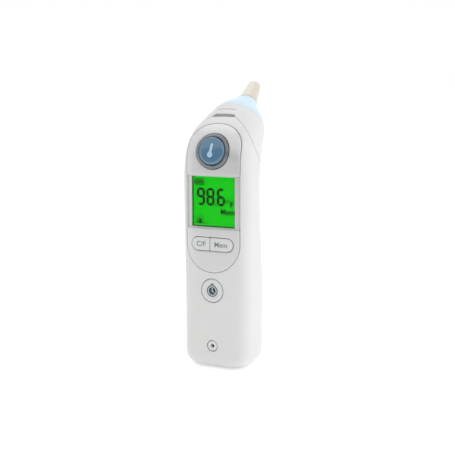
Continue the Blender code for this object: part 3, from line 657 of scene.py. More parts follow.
def on_brow(across, up, out):
    """Point over the measuring button's centre, moved in its plane and dropped on the surface."""
    start = MEASURE_CENTRE + Vector((across, 0.0, 0.0)) + MEASURE_UP * up + MEASURE_NORMAL * 10.0
    return raised(start, -MEASURE_NORMAL, out)


# ------------------------------------------------------------------ finishes

def finish(name, tone, rough=(0.30, 0.40), grain=2600.0, vary=0.03, bump=0.02, mottle=90.0, **fixed):
    """Moulded plastic or metal: fine grain in the roughness and relief, slow drift in the colour."""
    made = bpy.data.materials.new(name)
    made.use_nodes = True
    made.diffuse_color = (*tone, 1.0)
    nodes, links = made.node_tree.nodes, made.node_tree.links
    shader = nodes["Principled BSDF"]
    coordinates = nodes.new("ShaderNodeTexCoord")
    drift = nodes.new("ShaderNodeTexNoise")
    drift.inputs["Scale"].default_value = mottle
    drift.inputs["Detail"].default_value = 4.0
    fine = nodes.new("ShaderNodeTexNoise")
    fine.inputs["Scale"].default_value = grain
    fine.inputs["Detail"].default_value = 2.0
    for noise in (drift, fine):
        links.new(coordinates.outputs["Object"], noise.inputs["Vector"])
    ramp = nodes.new("ShaderNodeValToRGB")
    ramp.color_ramp.elements[0].position, ramp.color_ramp.elements[1].position = 0.3, 0.7
    ramp.color_ramp.elements[0].color = (*[channel * (1.0 - vary) for channel in tone], 1.0)
    ramp.color_ramp.elements[1].color = (*[min(1.0, channel * (1.0 + vary)) for channel in tone], 1.0)
    links.new(drift.outputs["Fac"], ramp.inputs["Fac"])
    links.new(ramp.outputs["Color"], shader.inputs["Base Color"])
    spread = nodes.new("ShaderNodeMapRange")
    spread.inputs["From Min"].default_value, spread.inputs["From Max"].default_value = 0.3, 0.7
    spread.inputs["To Min"].default_value, spread.inputs["To Max"].default_value = rough
    links.new(fine.outputs["Fac"], spread.inputs["Value"])
    links.new(spread.outputs["Result"], shader.inputs["Roughness"])
    relief = nodes.new("ShaderNodeBump")
    relief.inputs["Strength"].default_value = bump
    relief.inputs["Distance"].default_value = 0.05 * MM
    links.new(fine.outputs["Fac"], relief.inputs["Height"])
    links.new(relief.outputs["Normal"], shader.inputs["Normal"])
    for socket, value in fixed.items():
        shader.inputs[socket.replace("_", " ")].default_value = value
    return made


def graded(made, axis, stops):
    """Replaces a finish's slow drift by bands of colour along one axis, in metres."""
    nodes, links = made.node_tree.nodes, made.node_tree.links
    coordinates = nodes["Texture Coordinate"]
    split = nodes.new("ShaderNodeSeparateXYZ")
    links.new(coordinates.outputs["Object"], split.inputs["Vector"])
    low, high = stops[0][0], stops[-1][0]
    place = nodes.new("ShaderNodeMapRange")
    place.inputs["From Min"].default_value, place.inputs["From Max"].default_value = low, high
    links.new(split.outputs[axis], place.inputs["Value"])
    ramp = nodes.new("ShaderNodeValToRGB")
    elements = ramp.color_ramp.elements
    elements[0].color = (*stops[0][1], 1.0)
    elements[1].color = (*stops[-1][1], 1.0)
    for where, tone in stops[1:-1]:
        elements.new((where - low) / (high - low)).color = (*tone, 1.0)
    links.new(place.outputs["Result"], ramp.inputs["Fac"])
    links.new(ramp.outputs["Color"], nodes["Principled BSDF"].inputs["Base Color"])
    return ramp


MADE = {}


def get_finish(name, *args, **options):
    if name not in MADE:
        MADE[name] = finish(name, *args, **options)
    return MADE[name]


def shell_white(context):
    return get_finish("white_shell", settings(context, "casing").shell, rough=(0.32, 0.42), vary=0.012,
                      bump=0.035, Coat_Weight=0.15, Coat_Roughness=0.25)


def steel():
    return get_finish("bright_steel", (0.62, 0.62, 0.63), rough=(0.18, 0.34), grain=5200.0, vary=0.06,
                      bump=0.05, Metallic=1.0)


def dress(finish_made, *names):
    """Gives CAD pieces whose shape is right their finish."""
    for name in names:
        obj = frame["nodes"][name]
        if not obj.material_slots:
            obj.data.materials.append(finish_made)
        for slot in obj.material_slots:
            slot.material = finish_made


# ------------------------------------------------------------------ geometry nodes

class Tree:
    """Geometry node tree in the making, with named inputs and a row of nodes."""

    def __init__(self, name, inputs):
        self.tree = bpy.data.node_groups.new(name, "GeometryNodeTree")
        self.ids = {}
        for label, kind in inputs:
            socket = self.tree.interface.new_socket(name=label, in_out="INPUT",
                                                    socket_type="NodeSocket" + kind)
            self.ids[label] = socket.identifier
        self.tree.interface.new_socket(name="Geometry", in_out="OUTPUT", socket_type="NodeSocketGeometry")
        self.given = self.tree.nodes.new("NodeGroupInput")
        self.result = self.tree.nodes.new("NodeGroupOutput")

    def add(self, kind, **values):
        node = self.tree.nodes.new(kind)
        for name, value in values.items():
            if name in ("operation", "fill_type", "mode", "data_type"):
                setattr(node, name, value)
        return node

    def join(self, source, target, socket):
        source = self.given.outputs[source] if isinstance(source, str) else source
        self.tree.links.new(source, target.inputs[socket])

    def close(self, geometry):
        realise = self.add("GeometryNodeRealizeInstances")
        self.join(geometry, realise, "Geometry")
        paint = self.add("GeometryNodeSetMaterial")
        self.join(realise.outputs["Geometry"], paint, "Geometry")
        self.join("Finish", paint, "Material")
        self.join(paint.outputs["Geometry"], self.result, "Geometry")

    def mesh(self, name, values):
        """Plain mesh that the tree makes with these values."""
        obj = bpy.data.objects.new(name, bpy.data.meshes.new(name))
        bpy.context.scene.collection.objects.link(obj)
        modifier = obj.modifiers.new("nodes", "NODES")
        modifier.node_group = self.tree
        for label, value in values.items():
            modifier[self.ids[label]] = value
        bpy.context.view_layer.update()
        mesh = bpy.data.meshes.new_from_object(obj.evaluated_get(bpy.context.evaluated_depsgraph_get()))
        obj.modifiers.remove(modifier)
        bpy.data.objects.remove(obj)
        if not mesh.polygons:
            raise RuntimeError("the node tree made no mesh for " + name)
        return mesh


@lru_cache(maxsize=None)
def spring_tree():
    """Wire wound along a spiral."""
    made = Tree("coil_spring", [("Turns", "Float"), ("Radius", "Float"), ("Wire", "Float"),
                                ("Length", "Float"), ("Place", "Vector"), ("Turn", "Rotation"),
                                ("Finish", "Material")])
    path = made.add("GeometryNodeCurveSpiral")
    path.inputs["Resolution"].default_value = 40
    made.join("Turns", path, "Rotations")
    made.join("Radius", path, "Start Radius")
    made.join("Radius", path, "End Radius")
    made.join("Length", path, "Height")
    wire = made.add("GeometryNodeCurvePrimitiveCircle", mode="RADIUS")
    wire.inputs["Resolution"].default_value = 12
    made.join("Wire", wire, "Radius")
    sweep = made.add("GeometryNodeCurveToMesh")
    sweep.inputs["Fill Caps"].default_value = True
    made.join(path.outputs["Curve"], sweep, "Curve")
    made.join(wire.outputs["Curve"], sweep, "Profile Curve")
    move = made.add("GeometryNodeTransform")
    made.join(sweep.outputs["Mesh"], move, "Geometry")
    made.join("Place", move, "Translation")
    made.join("Turn", move, "Rotation")
    made.close(move.outputs["Geometry"])
    return made


@lru_cache(maxsize=None)
def screw_tree():
    """Two cross-head screws, one on each side, seen along their axis."""
    made = Tree("screw_pair", [("Head Radius", "Float"), ("Head Height", "Float"),
                               ("Shank Radius", "Float"), ("Reach", "Float"),
                               ("First Place", "Vector"), ("Step", "Vector"),
                               ("Turn", "Rotation"), ("Finish", "Material")])

    def lifted(node, height):
        """Moves a primitive that is centred on its middle up to a height on the axis."""
        vector = made.add("ShaderNodeCombineXYZ")
        made.join(height, vector, "Z")
        move = made.add("GeometryNodeTransform")
        made.join(node.outputs["Mesh"], move, "Geometry")
        made.join(vector.outputs["Vector"], move, "Translation")
        return move.outputs["Geometry"]

    def times(source, factor):
        node = made.add("ShaderNodeMath", operation="MULTIPLY")
        made.join(source, node, 0)
        node.inputs[1].default_value = factor
        return node.outputs[0]

    head = made.add("GeometryNodeMeshCone", fill_type="NGON")
    head.inputs["Vertices"].default_value = 40
    head.inputs["Side Segments"].default_value = 3
    made.join(times("Head Radius", 0.74), head, "Radius Top")
    made.join("Head Radius", head, "Radius Bottom")
    made.join("Head Height", head, "Depth")
    cross = made.add("GeometryNodeJoinGeometry")
    for wide, narrow in (("X", "Y"), ("Y", "X")):
        extent = made.add("ShaderNodeCombineXYZ")
        made.join(times("Head Radius", 1.1), extent, wide)
        made.join(times("Head Radius", 0.26), extent, narrow)
        made.join(times("Head Height", 1.2), extent, "Z")
        bar = made.add("GeometryNodeMeshCube")
        made.join(extent.outputs["Vector"], bar, "Size")
        made.join(lifted(bar, times("Head Height", 1.1)), cross, "Geometry")
    cut = made.add("GeometryNodeMeshBoolean", operation="DIFFERENCE")
    made.join(head.outputs["Mesh"], cut, "Mesh 1")
    made.join(cross.outputs["Geometry"], cut, "Mesh 2")
    shank = made.add("GeometryNodeMeshCylinder", fill_type="NGON")
    shank.inputs["Vertices"].default_value = 24
    made.join("Shank Radius", shank, "Radius")
    made.join("Reach", shank, "Depth")
    whole = made.add("GeometryNodeJoinGeometry")
    made.join(cut.outputs["Mesh"], whole, "Geometry")
    made.join(lifted(shank, times("Reach", -0.5)), whole, "Geometry")
    points = made.add("GeometryNodeMeshLine", mode="OFFSET")
    points.inputs["Count"].default_value = 2
    made.join("First Place", points, "Start Location")
    made.join("Step", points, "Offset")
    copies = made.add("GeometryNodeInstanceOnPoints")
    made.join(points.outputs["Mesh"], copies, "Points")
    made.join(whole.outputs["Geometry"], copies, "Instance")
    made.join("Turn", copies, "Rotation")
    made.close(copies.outputs["Instances"])
    return made


# ------------------------------------------------------------------ operators

class PieceOperator(bpy.types.Operator):
    """Common part of the operators: they run once and change the scene."""
    bl_options = {"REGISTER"}

    def execute(self, context):
        self.build(context)
        return {"FINISHED"}


class THERMOMETER_OT_casing(PieceOperator):
    """Front housing, rear housing and battery door, with rounded partings"""
    bl_idname = "thermometer.casing"
    bl_label = "Casing"

    def build(self, context):
        sizes = settings(context, "casing")
        wall, lip = sizes.wall / MM, sizes.edge / MM
        white = shell_white(context)
        base_rows = [BASE_ROUNDING * (1.0 - math.cos(math.radians(angle))) for angle in range(0, 90, 9)]
        handle_rows = steps(BASE_ROUNDING, WAIST_Z, 1.2)
        head_rows = steps(WAIST_Z, HEAD_LENGTH, 0.7)[1:]
        seam_hole = lambda point: -outside_capsule(point, SEAM_GAP)
        front = [behind_parting, above_hood_edge, seam_hole, groove,
                 inside_disc(0.0, TIMER_Z, TIMER_RADIUS + GAP),
                 inside_disc(0.0, RELEASE_Z, RELEASE_RADIUS + GAP)]
        front_rows = base_rows + handle_rows + head_rows
        finished("housing_front", skin_piece(front_rows, front, wall, lip, floor=True), white,
                 "handle", ["front_housing"])

        def screw_hole(point):
            if point.y < 0.0:
                return -wall
            return 2.3 - min(math.hypot(point.x - side * SCREW_X, point.z - SCREW_Z) for side in (-1, 1))

        rear = [before_parting, above_hood_edge, lambda point: DOOR_HIGH + GAP - point.z, screw_hole]
        rear_rows = steps(DOOR_HIGH - 1.0, WAIST_Z, 1.0) + head_rows
        finished("housing_rear", skin_piece(rear_rows, rear, wall, lip), white, "handle",
                 ["rear_housing"])
        door = [before_parting, lambda point: DOOR_LOW - point.z, lambda point: point.z - DOOR_HIGH]
        door_bm = skin_piece(base_rows[3:] + steps(BASE_ROUNDING, DOOR_HIGH + 1.0, 1.2), door, wall, lip)
        tab = [(-3.0, 11.5), (3.0, 11.5), (3.0, 14.3), (-3.0, 14.3)]
        slab(door_bm, tab, lambda x, z, y: Vector((x, y, z)), 10.6, 14.6)
        finished("door", door_bm, white, "door", ["battery_door"])

        # Painted shade: a grey sheet sunk 0.9 mm into the crescent under the hood stands in for the shadow
        # inside the thumb groove.
        grey = get_finish("thumb_groove", sizes.groove, rough=(0.55, 0.7), vary=0.05, bump=0.2)
        recess = [lambda point: 0.1 - groove(point)]
        finished("thumb_groove", skin_piece(steps(124.0, HEAD_LENGTH, 0.4), recess, 0.9, 0.08, depth=0.9),
                 grey, "handle")


class THERMOMETER_OT_hood(PieceOperator):
    """Sliding hood and collar that push the probe cover off"""
    bl_idname = "thermometer.hood"
    bl_label = "Ejector hood and collar"

    def build(self, context):
        sizes = settings(context, "casing")
        probe = settings(context, "probe")
        wall, lip = sizes.wall / MM, sizes.edge / MM
        neck = 6.9

        def under_face(place):
            """Keeps the inner wall below the hood's end face."""
            away = place - SEAM_CENTRE
            height = away.dot(PROBE_AXIS)
            radial = away - PROBE_AXIS * height
            if height > -2.0 - wall:
                radial = radial.normalized() * min(radial.length, SEAM_RADIUS - wall * 0.9)
            return SEAM_CENTRE + radial + PROBE_AXIS * min(height, -1.8)

        rows = steps(112.0, HEAD_LENGTH, 0.6) + [HEAD_LENGTH + step for step in range(1, len(RIM))]

        def in_neck(point):
            height = probe_height(point)
            radial = (point - SEAM_CENTRE - PROBE_AXIS * height).length
            return neck - radial if height > -0.5 else -neck

        bm = skin_piece(rows, [below_hood_edge, groove, in_neck], wall, lip, tuck=under_face)
        finished("hood", bm, shell_white(context), "ejector", ["ejector_hood"])

        mark_grey = get_finish("print_grey", (0.34, 0.34, 0.35), rough=(0.5, 0.6), vary=0.06)
        line = [lambda point: math.hypot(max(0.0, abs(point.x) - 5.2), probe_height(point) + 3.9) - 0.22
                if point.y < SEAM_CENTRE.y else 1.0]
        mark = skin_piece(steps(136.0, HEAD_LENGTH, 0.25), line, 0.08, 0.02, depth=-0.03)
        finished("hood_line", mark, mark_grey, "ejector")

        outer = [(5.05, 17.1), (5.3, 17.3), (5.75, 17.25), (6.15, 16.2), (7.15, 14.4), (8.7, 12.0),
                 (10.8, 9.0), (12.9, 6.0), (14.2, 3.2), (14.5, 1.6), (14.5, 0.4)]
        inner = [(13.8, 0.35), (12.9, 3.6), (11.6, 6.0), (9.4, 9.0), (7.4, 12.0), (6.0, 14.8), (5.0, 16.8)]
        profile = rounded(outer, 1.2, 5) + rounded(inner, 0.8, 3)
        blue = get_finish("light_blue", probe.collar, rough=(0.26, 0.36), vary=0.015, bump=0.03,
                          Coat_Weight=0.25, Coat_Roughness=0.2)
        finished("collar", turned(profile, SEAM_CENTRE, PROBE_AXIS, probe.steps, closed=True), blue,
                 "ejector", ["ejector_collar"])
        dress(shell_white(context), "ejector_sleeve")


class THERMOMETER_OT_probe(PieceOperator):
    """Disposable cover and the probe under it"""
    bl_idname = "thermometer.probe"
    bl_label = "Probe and cover"

    def build(self, context):
        probe = settings(context, "probe")
        film = get_finish("cover_film", probe.film, rough=(0.22, 0.34), vary=0.05, bump=0.04,
                          Subsurface_Weight=0.0, Alpha=0.9, Coat_Weight=0.3, Coat_Roughness=0.15)
        # Painted light: the cover's colour runs from pale, a painted highlight on the left, through its own
        # colour to amber on the right, a painted glow of light shining through the film.
        painted_light_amber = (0.72, 0.64, 0.52)
        pale = (0.86, 0.86, 0.84)
        graded(film, "X", [(-0.0055, pale), (0.0, probe.film), (0.0055, painted_light_amber)])
        outer = [(0.0, 32.7), (2.0, 32.5), (3.2, 31.5), (3.65, 30.0), (4.3, 24.0), (5.2, 18.1), (5.6, 18.1),
                 (5.6, 17.6), (4.0, 17.6)]
        inner = [(4.0, 17.9), (4.85, 18.4), (4.05, 24.0), (3.4, 30.0), (3.0, 31.1), (1.9, 32.1),
                 (0.0, 32.3)]
        profile = rounded(outer, 0.9, 5) + rounded(inner, 0.6, 4)
        finished("film_cover", turned(profile, SEAM_CENTRE, PROBE_AXIS, probe.steps), film,
                 "cover", ["probe_cover"])

        grey = get_finish("probe_grey", (0.50, 0.50, 0.49), rough=(0.38, 0.5), vary=0.03, bump=0.05)
        core = [(3.1, 30.6), (3.6, 20.0), (3.6, 14.6), (5.2, 14.6), (5.2, 13.4), (3.6, 13.4), (3.6, -15.3),
                (5.6, -15.3), (5.6, -16.8), (2.7, -16.8), (2.7, 22.0), (2.45, 22.6), (2.45, 30.6)]
        soft_core = rounded([(2.78, 30.6)] + core + [(2.72, 30.6)], 0.3, 4)
        finished("core", turned(soft_core, SEAM_CENTRE, PROBE_AXIS, 72, closed=True), grey,
                 "handle", ["probe_core"])
        dress(grey, "probe_mount")
        dress(get_finish("gold_plate", (0.80, 0.56, 0.22), rough=(0.12, 0.22), vary=0.04, Metallic=1.0),
              "waveguide")
        dress(get_finish("lens", (0.20, 0.24, 0.28), rough=(0.06, 0.12), vary=0.03, bump=0.0,
                         Coat_Weight=0.6), "probe_window")
        dress(get_finish("heater_film", (0.50, 0.26, 0.08), rough=(0.4, 0.5), vary=0.1), "heater_ring")
        dress(get_finish("flex_orange", (0.68, 0.30, 0.06), rough=(0.35, 0.45), vary=0.05), "sensor_flex")
        dress(steel(), "thermopile_sensor", "cover_detector_pin")
        dress(dark_rubber(), "cover_switch")


def dark_rubber():
    return get_finish("dark_rubber", (0.035, 0.035, 0.037), rough=(0.6, 0.75), vary=0.1, bump=0.15)


class THERMOMETER_OT_fascia(PieceOperator):
    """Satin control panel with its recessed band, clear window and gasket"""
    bl_idname = "thermometer.fascia"
    bl_label = "Fascia and window"

    def build(self, context):
        sizes = settings(context, "fascia")
        wall, lip = sizes.thickness / MM, sizes.edge / MM
        silver = get_finish("silver_fascia", sizes.silver, rough=(0.30, 0.42), grain=4200.0, vary=0.012,
                            bump=0.05, Metallic=0.35, Coat_Weight=0.2, Coat_Roughness=0.3)
        upper_rows = steps(BAND_HIGH - 1.0, FASCIA_HIGH + 1.0, 0.6)
        upper = skin_piece(upper_rows,
                           [outside_capsule, lambda point: BAND_HIGH - point.z, inside_ring_hole],
                           wall, lip, depth=PANEL_DEPTH, columns=240)
        key_hole = lambda point: -outside_pill(point, GAP)
        lower = skin_piece(steps(FASCIA_LOW - 1.0, BAND_LOW + 1.0, 0.6),
                           [outside_capsule, lambda point: point.z - BAND_LOW, key_hole], wall, lip,
                           depth=PANEL_DEPTH, columns=240)

        def around_display(point):
            return min(LCD_HALF_WIDTH + LCD_MARGIN - abs(point.x), point.z - LCD_LOW + LCD_MARGIN,
                       LCD_HIGH + LCD_MARGIN - point.z)

        band = skin_piece(steps(BAND_LOW - 1.0, BAND_HIGH + 1.0, 0.6),
                          [outside_capsule, lambda point: max(BAND_LOW - point.z, point.z - BAND_HIGH),
                           around_display], 0.5, 0.05, depth=1.05)
        finished("panel", merged(upper, lower, band), silver, "handle", ["fascia_panel"])

        clear = get_finish("clear_window", sizes.tint, rough=(0.04, 0.08), vary=0.005, bump=0.0,
                           Alpha=0.035, Specular_IOR_Level=1.0)
        window = skin_piece(steps(BAND_LOW - 1.0, BAND_HIGH + 1.0, 1.5),
                            [outside_capsule,
                             lambda point: max(BAND_LOW + GAP - point.z, point.z - BAND_HIGH + GAP)],
                            0.6, 0.15, depth=PANEL_DEPTH)
        finished("window", window, clear, "handle", ["display_window"])
        dress(get_finish("black_foam", (0.03, 0.03, 0.03), rough=(0.85, 0.95), grain=6000.0, vary=0.15,
                         bump=0.5), "display_gasket")


def digit_bars(digit):
    """Lit bars of a seven-bar digit: top, top right, low right, bottom, low left, top left, middle."""
    lit = {"0": "abcdef", "1": "bc", "2": "abdeg", "3": "abcdg", "4": "bcfg", "5": "acdfg", "6": "acdefg",
           "7": "abc", "8": "abcdefg", "9": "abcdfg"}
    return lit[digit]


class THERMOMETER_OT_display(PieceOperator):
    """Lit liquid crystal display with its digits and signs"""
    bl_idname = "thermometer.display"
    bl_label = "Display"

    def build(self, context):
        sizes = settings(context, "display")
        glass = get_finish("lit_display", sizes.lit, rough=(0.3, 0.36), vary=0.0, bump=0.0,
                           Specular_IOR_Level=0.0)
        # Painted shade: the display's glow falls to under half its strength over the last 0.5 mm at its left
        # and right edges, standing in for shade at the edges of its recess.
        painted_edge_shade = tuple(channel * 0.45 for channel in sizes.lit)
        edge = LCD_HALF_WIDTH * MM
        ramp = graded(glass, "X", [(-edge, painted_edge_shade), (-edge + 0.5 * MM, sizes.lit),
                                   (edge - 0.5 * MM, sizes.lit), (edge, painted_edge_shade)])
        shader = glass.node_tree.nodes["Principled BSDF"]
        glass.node_tree.links.new(ramp.outputs["Color"], shader.inputs["Emission Color"])
        glass.node_tree.links.remove(shader.inputs["Base Color"].links[0])
        shader.inputs["Base Color"].default_value = (0.0, 0.08, 0.0, 1.0)
        shader.inputs["Emission Strength"].default_value = 0.86
        dress(glass, "lcd_panel")

        ink = get_finish("segment_ink", sizes.ink, rough=(0.4, 0.5), vary=0.2, bump=0.0,
                         Specular_IOR_Level=0.0)
        bm = bmesh.new()
        left, top = -LCD_HALF_WIDTH, LCD_HIGH

        def on_glass(u, v, out):
            return Vector((left + u, LCD_Y - out, top - v))

        def bar(points):
            slab(bm, points, on_glass, INK_LOW, INK_HIGH)

        def upright(twice_middle):
            """Turns a legend the right way up about its own middle, on top of the glass."""
            return lambda u, v, out: on_glass(u, twice_middle - v, out + 0.04)

        def box_bar(u0, v0, u1, v1):
            bar([(u0, v0), (u1, v0), (u1, v1), (u0, v1)])

        self.digits(bar, sizes)
        # Battery sign: case with a nub and three bars.
        for u0, v0, u1, v1 in ((1.2, 1.1, 6.3, 1.6), (1.2, 3.9, 6.3, 4.4), (1.2, 1.1, 1.7, 4.4),
                               (5.8, 1.1, 6.3, 4.4), (0.6, 2.0, 1.2, 3.5), (2.1, 1.9, 3.05, 3.6),
                               (3.3, 1.9, 4.25, 3.6), (4.5, 1.9, 5.45, 3.6)):
            box_bar(u0, v0, u1, v1)
        # Bell sign: solid clapper inside an outlined bell on its rim.
        bar([(3.4, 21.8), (4.5, 21.8), (5.1, 24.6), (2.8, 24.6)])
        for side in (-1, 1):
            flank = [(3.95 + side * 0.95, 20.8), (3.95 + side * 1.3, 20.9), (3.95 + side * 2.2, 24.0),
                     (3.95 + side * 3.1, 24.6), (3.95 + side * 1.9, 24.6), (3.95 + side * 1.55, 23.8)]
            bar(flank if side > 0 else flank[::-1])
        bar([(3.0, 20.8), (3.2, 20.3), (4.7, 20.3), (4.9, 20.8)])
        annulus_bm = bmesh.new()
        annulus(annulus_bm, (19.9, 12.4), 0.85, 0.4, on_glass, INK_LOW, INK_HIGH, 24)
        unit = lettering("F", 3.1, (22.1, 14.1), upright(28.0), PRINT_HALF, weight=0.05)
        memory = lettering("Mem", 3.1, (19.9, 19.2), upright(37.2), PRINT_HALF, weight=0.025)
        finished("segments", merged(bm, annulus_bm, unit, memory), ink, "handle")

        dress(get_finish("frame_grey", (0.40, 0.41, 0.41), rough=(0.45, 0.55), vary=0.04, bump=0.08),
              "lcd_frame")
        dress(get_finish("acrylic", (0.70, 0.82, 0.72), rough=(0.1, 0.16), vary=0.02, bump=0.0, Alpha=0.6),
              "light_guide")
        dress(get_finish("led_white", (0.88, 0.88, 0.78), rough=(0.25, 0.35), vary=0.03),
              "backlight_led_left", "backlight_led_right")
        dress(dark_rubber(), "zebra_strip")

    def digits(self, bar, sizes):
        """Seven-bar digits with mitred bars."""
        stroke = sizes.stroke / MM
        half, gap, width, height = stroke / 2, 0.05, 4.8, 9.4
        left_edges = iter((2.0, 7.55, 13.6))
        top = 5.7
        for sign in sizes.reading:
            if sign == ".":
                bar([(12.5, 14.1), (13.4, 14.1), (13.4, 15.1), (12.5, 15.1)])
                continue
            left = next(left_edges)
            lit = digit_bars(sign)
            west, east = left + half, left + width - half
            north, middle, south = top + half, top + height / 2, top + height - half
            for key, y in (("a", north), ("g", middle), ("d", south)):
                if key in lit:
                    bar([(west + gap, y), (west + half + gap, y - half), (east - half - gap, y - half),
                         (east - gap, y), (east - half - gap, y + half), (west + half + gap, y + half)])
            for key, x, y0, y1 in (("f", west, north, middle), ("b", east, north, middle),
                                   ("e", west, middle, south), ("c", east, middle, south)):
                if key in lit:
                    bar([(x, y0 + gap), (x + half, y0 + half + gap), (x + half, y1 - half - gap),
                         (x, y1 - gap), (x - half, y1 - half - gap), (x - half, y0 + half + gap)])


class THERMOMETER_OT_measure(PieceOperator):
    """Blue measuring button with its dark ring"""
    bl_idname = "thermometer.measure_button"
    bl_label = "Measuring button"

    def build(self, context):
        sizes = settings(context, "buttons")
        proud = sizes.ring_height / MM
        dark = get_finish("ring_grey", sizes.ring, rough=(0.10, 0.18), vary=0.05, bump=0.01,
                          Coat_Weight=0.6, Coat_Roughness=0.06)
        bm = bmesh.new()
        profile = rounded([(CAP_RADIUS + GAP, -2.2), (RING_RADIUS, -2.2), (RING_RADIUS, 0.1),
                           (RING_RADIUS - 0.3, proud * 0.45), (CAP_RADIUS + 0.9, proud),
                           (CAP_RADIUS + GAP, proud * 0.8),
                           (CAP_RADIUS + GAP, -2.0)], 0.25, 4)
        count = 144
        rows = []
        for radius, out in profile:
            rows.append([bm.verts.new(on_brow(radius * math.cos(2 * math.pi * step / count),
                                              radius * math.sin(2 * math.pi * step / count), out))
                         for step in range(count)])
        for first, second in zip(rows, rows[1:] + rows[:1]):
            for step in range(count):
                after = (step + 1) % count
                bm.faces.new((first[step], first[after], second[after], second[step]))
        bmesh.ops.recalc_face_normals(bm, faces=bm.faces)
        finished("cap_ring", bm, dark, "handle", ["button_ring"])

        blue = get_finish("blue_cap", sizes.cap, rough=(0.16, 0.24), vary=0.03, bump=0.02,
                          Coat_Weight=0.7, Coat_Roughness=0.08)
        top = [(radius, CAP_CROWN - CAP_FALL * radius * radius) for radius in (0.0, 1.5, 3.0, 4.5, 5.8)]
        top += [(6.2, 1.46), (6.85, 1.12), (CAP_RADIUS, 0.6)]
        skirt = [(CAP_RADIUS, -4.3), (7.9, -4.3), (7.9, -4.7), (1.6, -4.7), (1.6, -4.9), (0.0, -4.9)]
        profile = rounded(top + skirt, 0.3, 4)
        cap = turned(profile, MEASURE_CENTRE, MEASURE_NORMAL, 128)
        finished("cap", cap, blue, "measure_key", ["measure_button"])

        pale = get_finish("icon_blue", sizes.icon, rough=(0.3, 0.4), vary=0.04)
        lean = math.radians(9.0)
        bulb, bulb_radius, tube, tube_top = -2.1, 1.5, 0.72, 3.1
        outline = arc((0.0, bulb), bulb_radius, 119, 421, 28) + arc((0.0, tube_top), tube, 0, 180, 10)

        def on_cap(u, v, out):
            across = u * math.cos(lean) + v * math.sin(lean)
            up = v * math.cos(lean) - u * math.sin(lean)
            drop = CAP_CROWN - CAP_FALL * (across * across + up * up)
            return (MEASURE_CENTRE + Vector((across, 0.0, 0.0)) + MEASURE_UP * up
                    + MEASURE_NORMAL * (drop + out))

        icon = bmesh.new()
        slab(icon, outline, on_cap, -0.2, 0.08)
        finished("cap_icon", icon, pale, "measure_key")


class THERMOMETER_OT_keys(PieceOperator):
    """Scale and memory keys, the timer button and the door release"""
    bl_idname = "thermometer.keys"
    bl_label = "Keys, timer and release"

    def build(self, context):
        sizes = settings(context, "buttons")
        grey = get_finish("key_grey", sizes.key, rough=(0.34, 0.44), vary=0.012, bump=0.04)
        print_grey = get_finish("legend_grey", sizes.legend, rough=(0.5, 0.6), vary=0.06)
        rows = steps(KEY_Z - KEY_HALF_HEIGHT - 1.0, KEY_Z + KEY_HALF_HEIGHT + 1.0, 0.4)
        keys = (("cf_button", "cf_key", "C/F", -6.2, lambda point: point.x - KEY_DIVIDER_X + GAP / 2),
                ("mem_button", "mem_key", "Mem", 5.1, lambda point: KEY_DIVIDER_X + GAP / 2 - point.x))

        def on_key(x, z, out):
            return on_skin(x, z, KEY_STAND + out)

        for node, body, legend, x, limit in keys:
            bm = skin_piece(rows, [lambda point: outside_pill(point) if point.y < 0 else 1.0, limit],
                            1.9, 0.35, depth=-KEY_STAND, columns=300)
            stem = turned([(0.0, 0.0), (1.4, 0.0), (1.4, -4.1), (0.0, -4.1)],
                          (x, FRONT_Y + 1.5, KEY_Z), (0, -1, 0), 24)
            finished(node + "_cap", merged(bm, stem), grey, body, [node])
            mark = lettering(legend, 2.7, (x, KEY_Z), on_key, PRINT_HALF)
            finished(node + "_legend", mark, print_grey, body)

        def on_timer(x, z, out):
            return Vector((x, TIMER_FACE_Y - 0.25 - out, TIMER_Z + z))

        profile = rounded([(0.0, 0.25), (3.9, 0.25), (4.3, 0.6), (5.7, 0.6), (TIMER_RADIUS, 0.15),
                           (TIMER_RADIUS, -2.5), (7.4, -2.5), (7.4, -3.1), (1.5, -3.1), (1.5, -5.2),
                           (0.0, -5.2)],
                          0.4, 4)
        finished("timer_cap", turned(profile, (0, TIMER_FACE_Y, TIMER_Z), (0, -1, 0), 112), grey,
                 "timer_key", ["timer_button"])
        clock_ink = get_finish("clock_ink", sizes.clock, rough=(0.35, 0.45), vary=0.06)
        clock = bmesh.new()
        annulus(clock, (0.0, -0.15), 3.1, 2.55, on_timer, -PRINT_HALF, PRINT_HALF, 64)
        dial = bmesh.new()
        annulus(dial, (0.0, -0.15), 2.1, 0.35, on_timer, -PRINT_HALF, PRINT_HALF, 48)
        slab(dial, [(-0.95, 3.1), (0.95, 3.1), (0.8, 3.75), (-0.8, 3.75)], on_timer, -PRINT_HALF, PRINT_HALF)
        hands = bmesh.new()
        slab(hands, [(-0.17, -0.15), (0.17, -0.15), (0.17, 1.75), (-0.17, 1.75)], on_timer, 0.0, 0.06)
        slab(hands, [(-0.12, 0.0), (-0.12, -0.3), (1.25, -1.15), (1.35, -0.95)], on_timer, 0.0, 0.06)
        finished("timer_mark", merged(clock, dial), clock_ink, "timer_key")
        finished("timer_hands", hands, grey, "timer_key")

        white = shell_white(context)
        profile = rounded([(0.0, -1.9), (0.9, -1.9), (1.1, 0.0), (2.5, 0.0), (RELEASE_RADIUS, -0.4),
                           (RELEASE_RADIUS, -3.0), (1.4, -3.0), (1.4, -23.3), (0.0, -23.3)], 0.2, 4)
        finished("release_cap", turned(profile, (0, RELEASE_FACE_Y, RELEASE_Z), (0, -1, 0), 80), white,
                 "release", ["release_button"])
        # Painted shade: a dark disc at the bottom of the release button's pin hole stands in for the shadow
        # deep in the hole; it takes the dark rubber finish only for its colour.
        hole_shade = turned(rounded([(0.0, -1.85), (0.95, -1.85), (0.95, -2.0), (0.0, -2.0)], 0.02, 2),
                        (0, RELEASE_FACE_Y, RELEASE_Z), (0, -1, 0), 48)
        finished("release_dimple", hole_shade, dark_rubber(), "release")


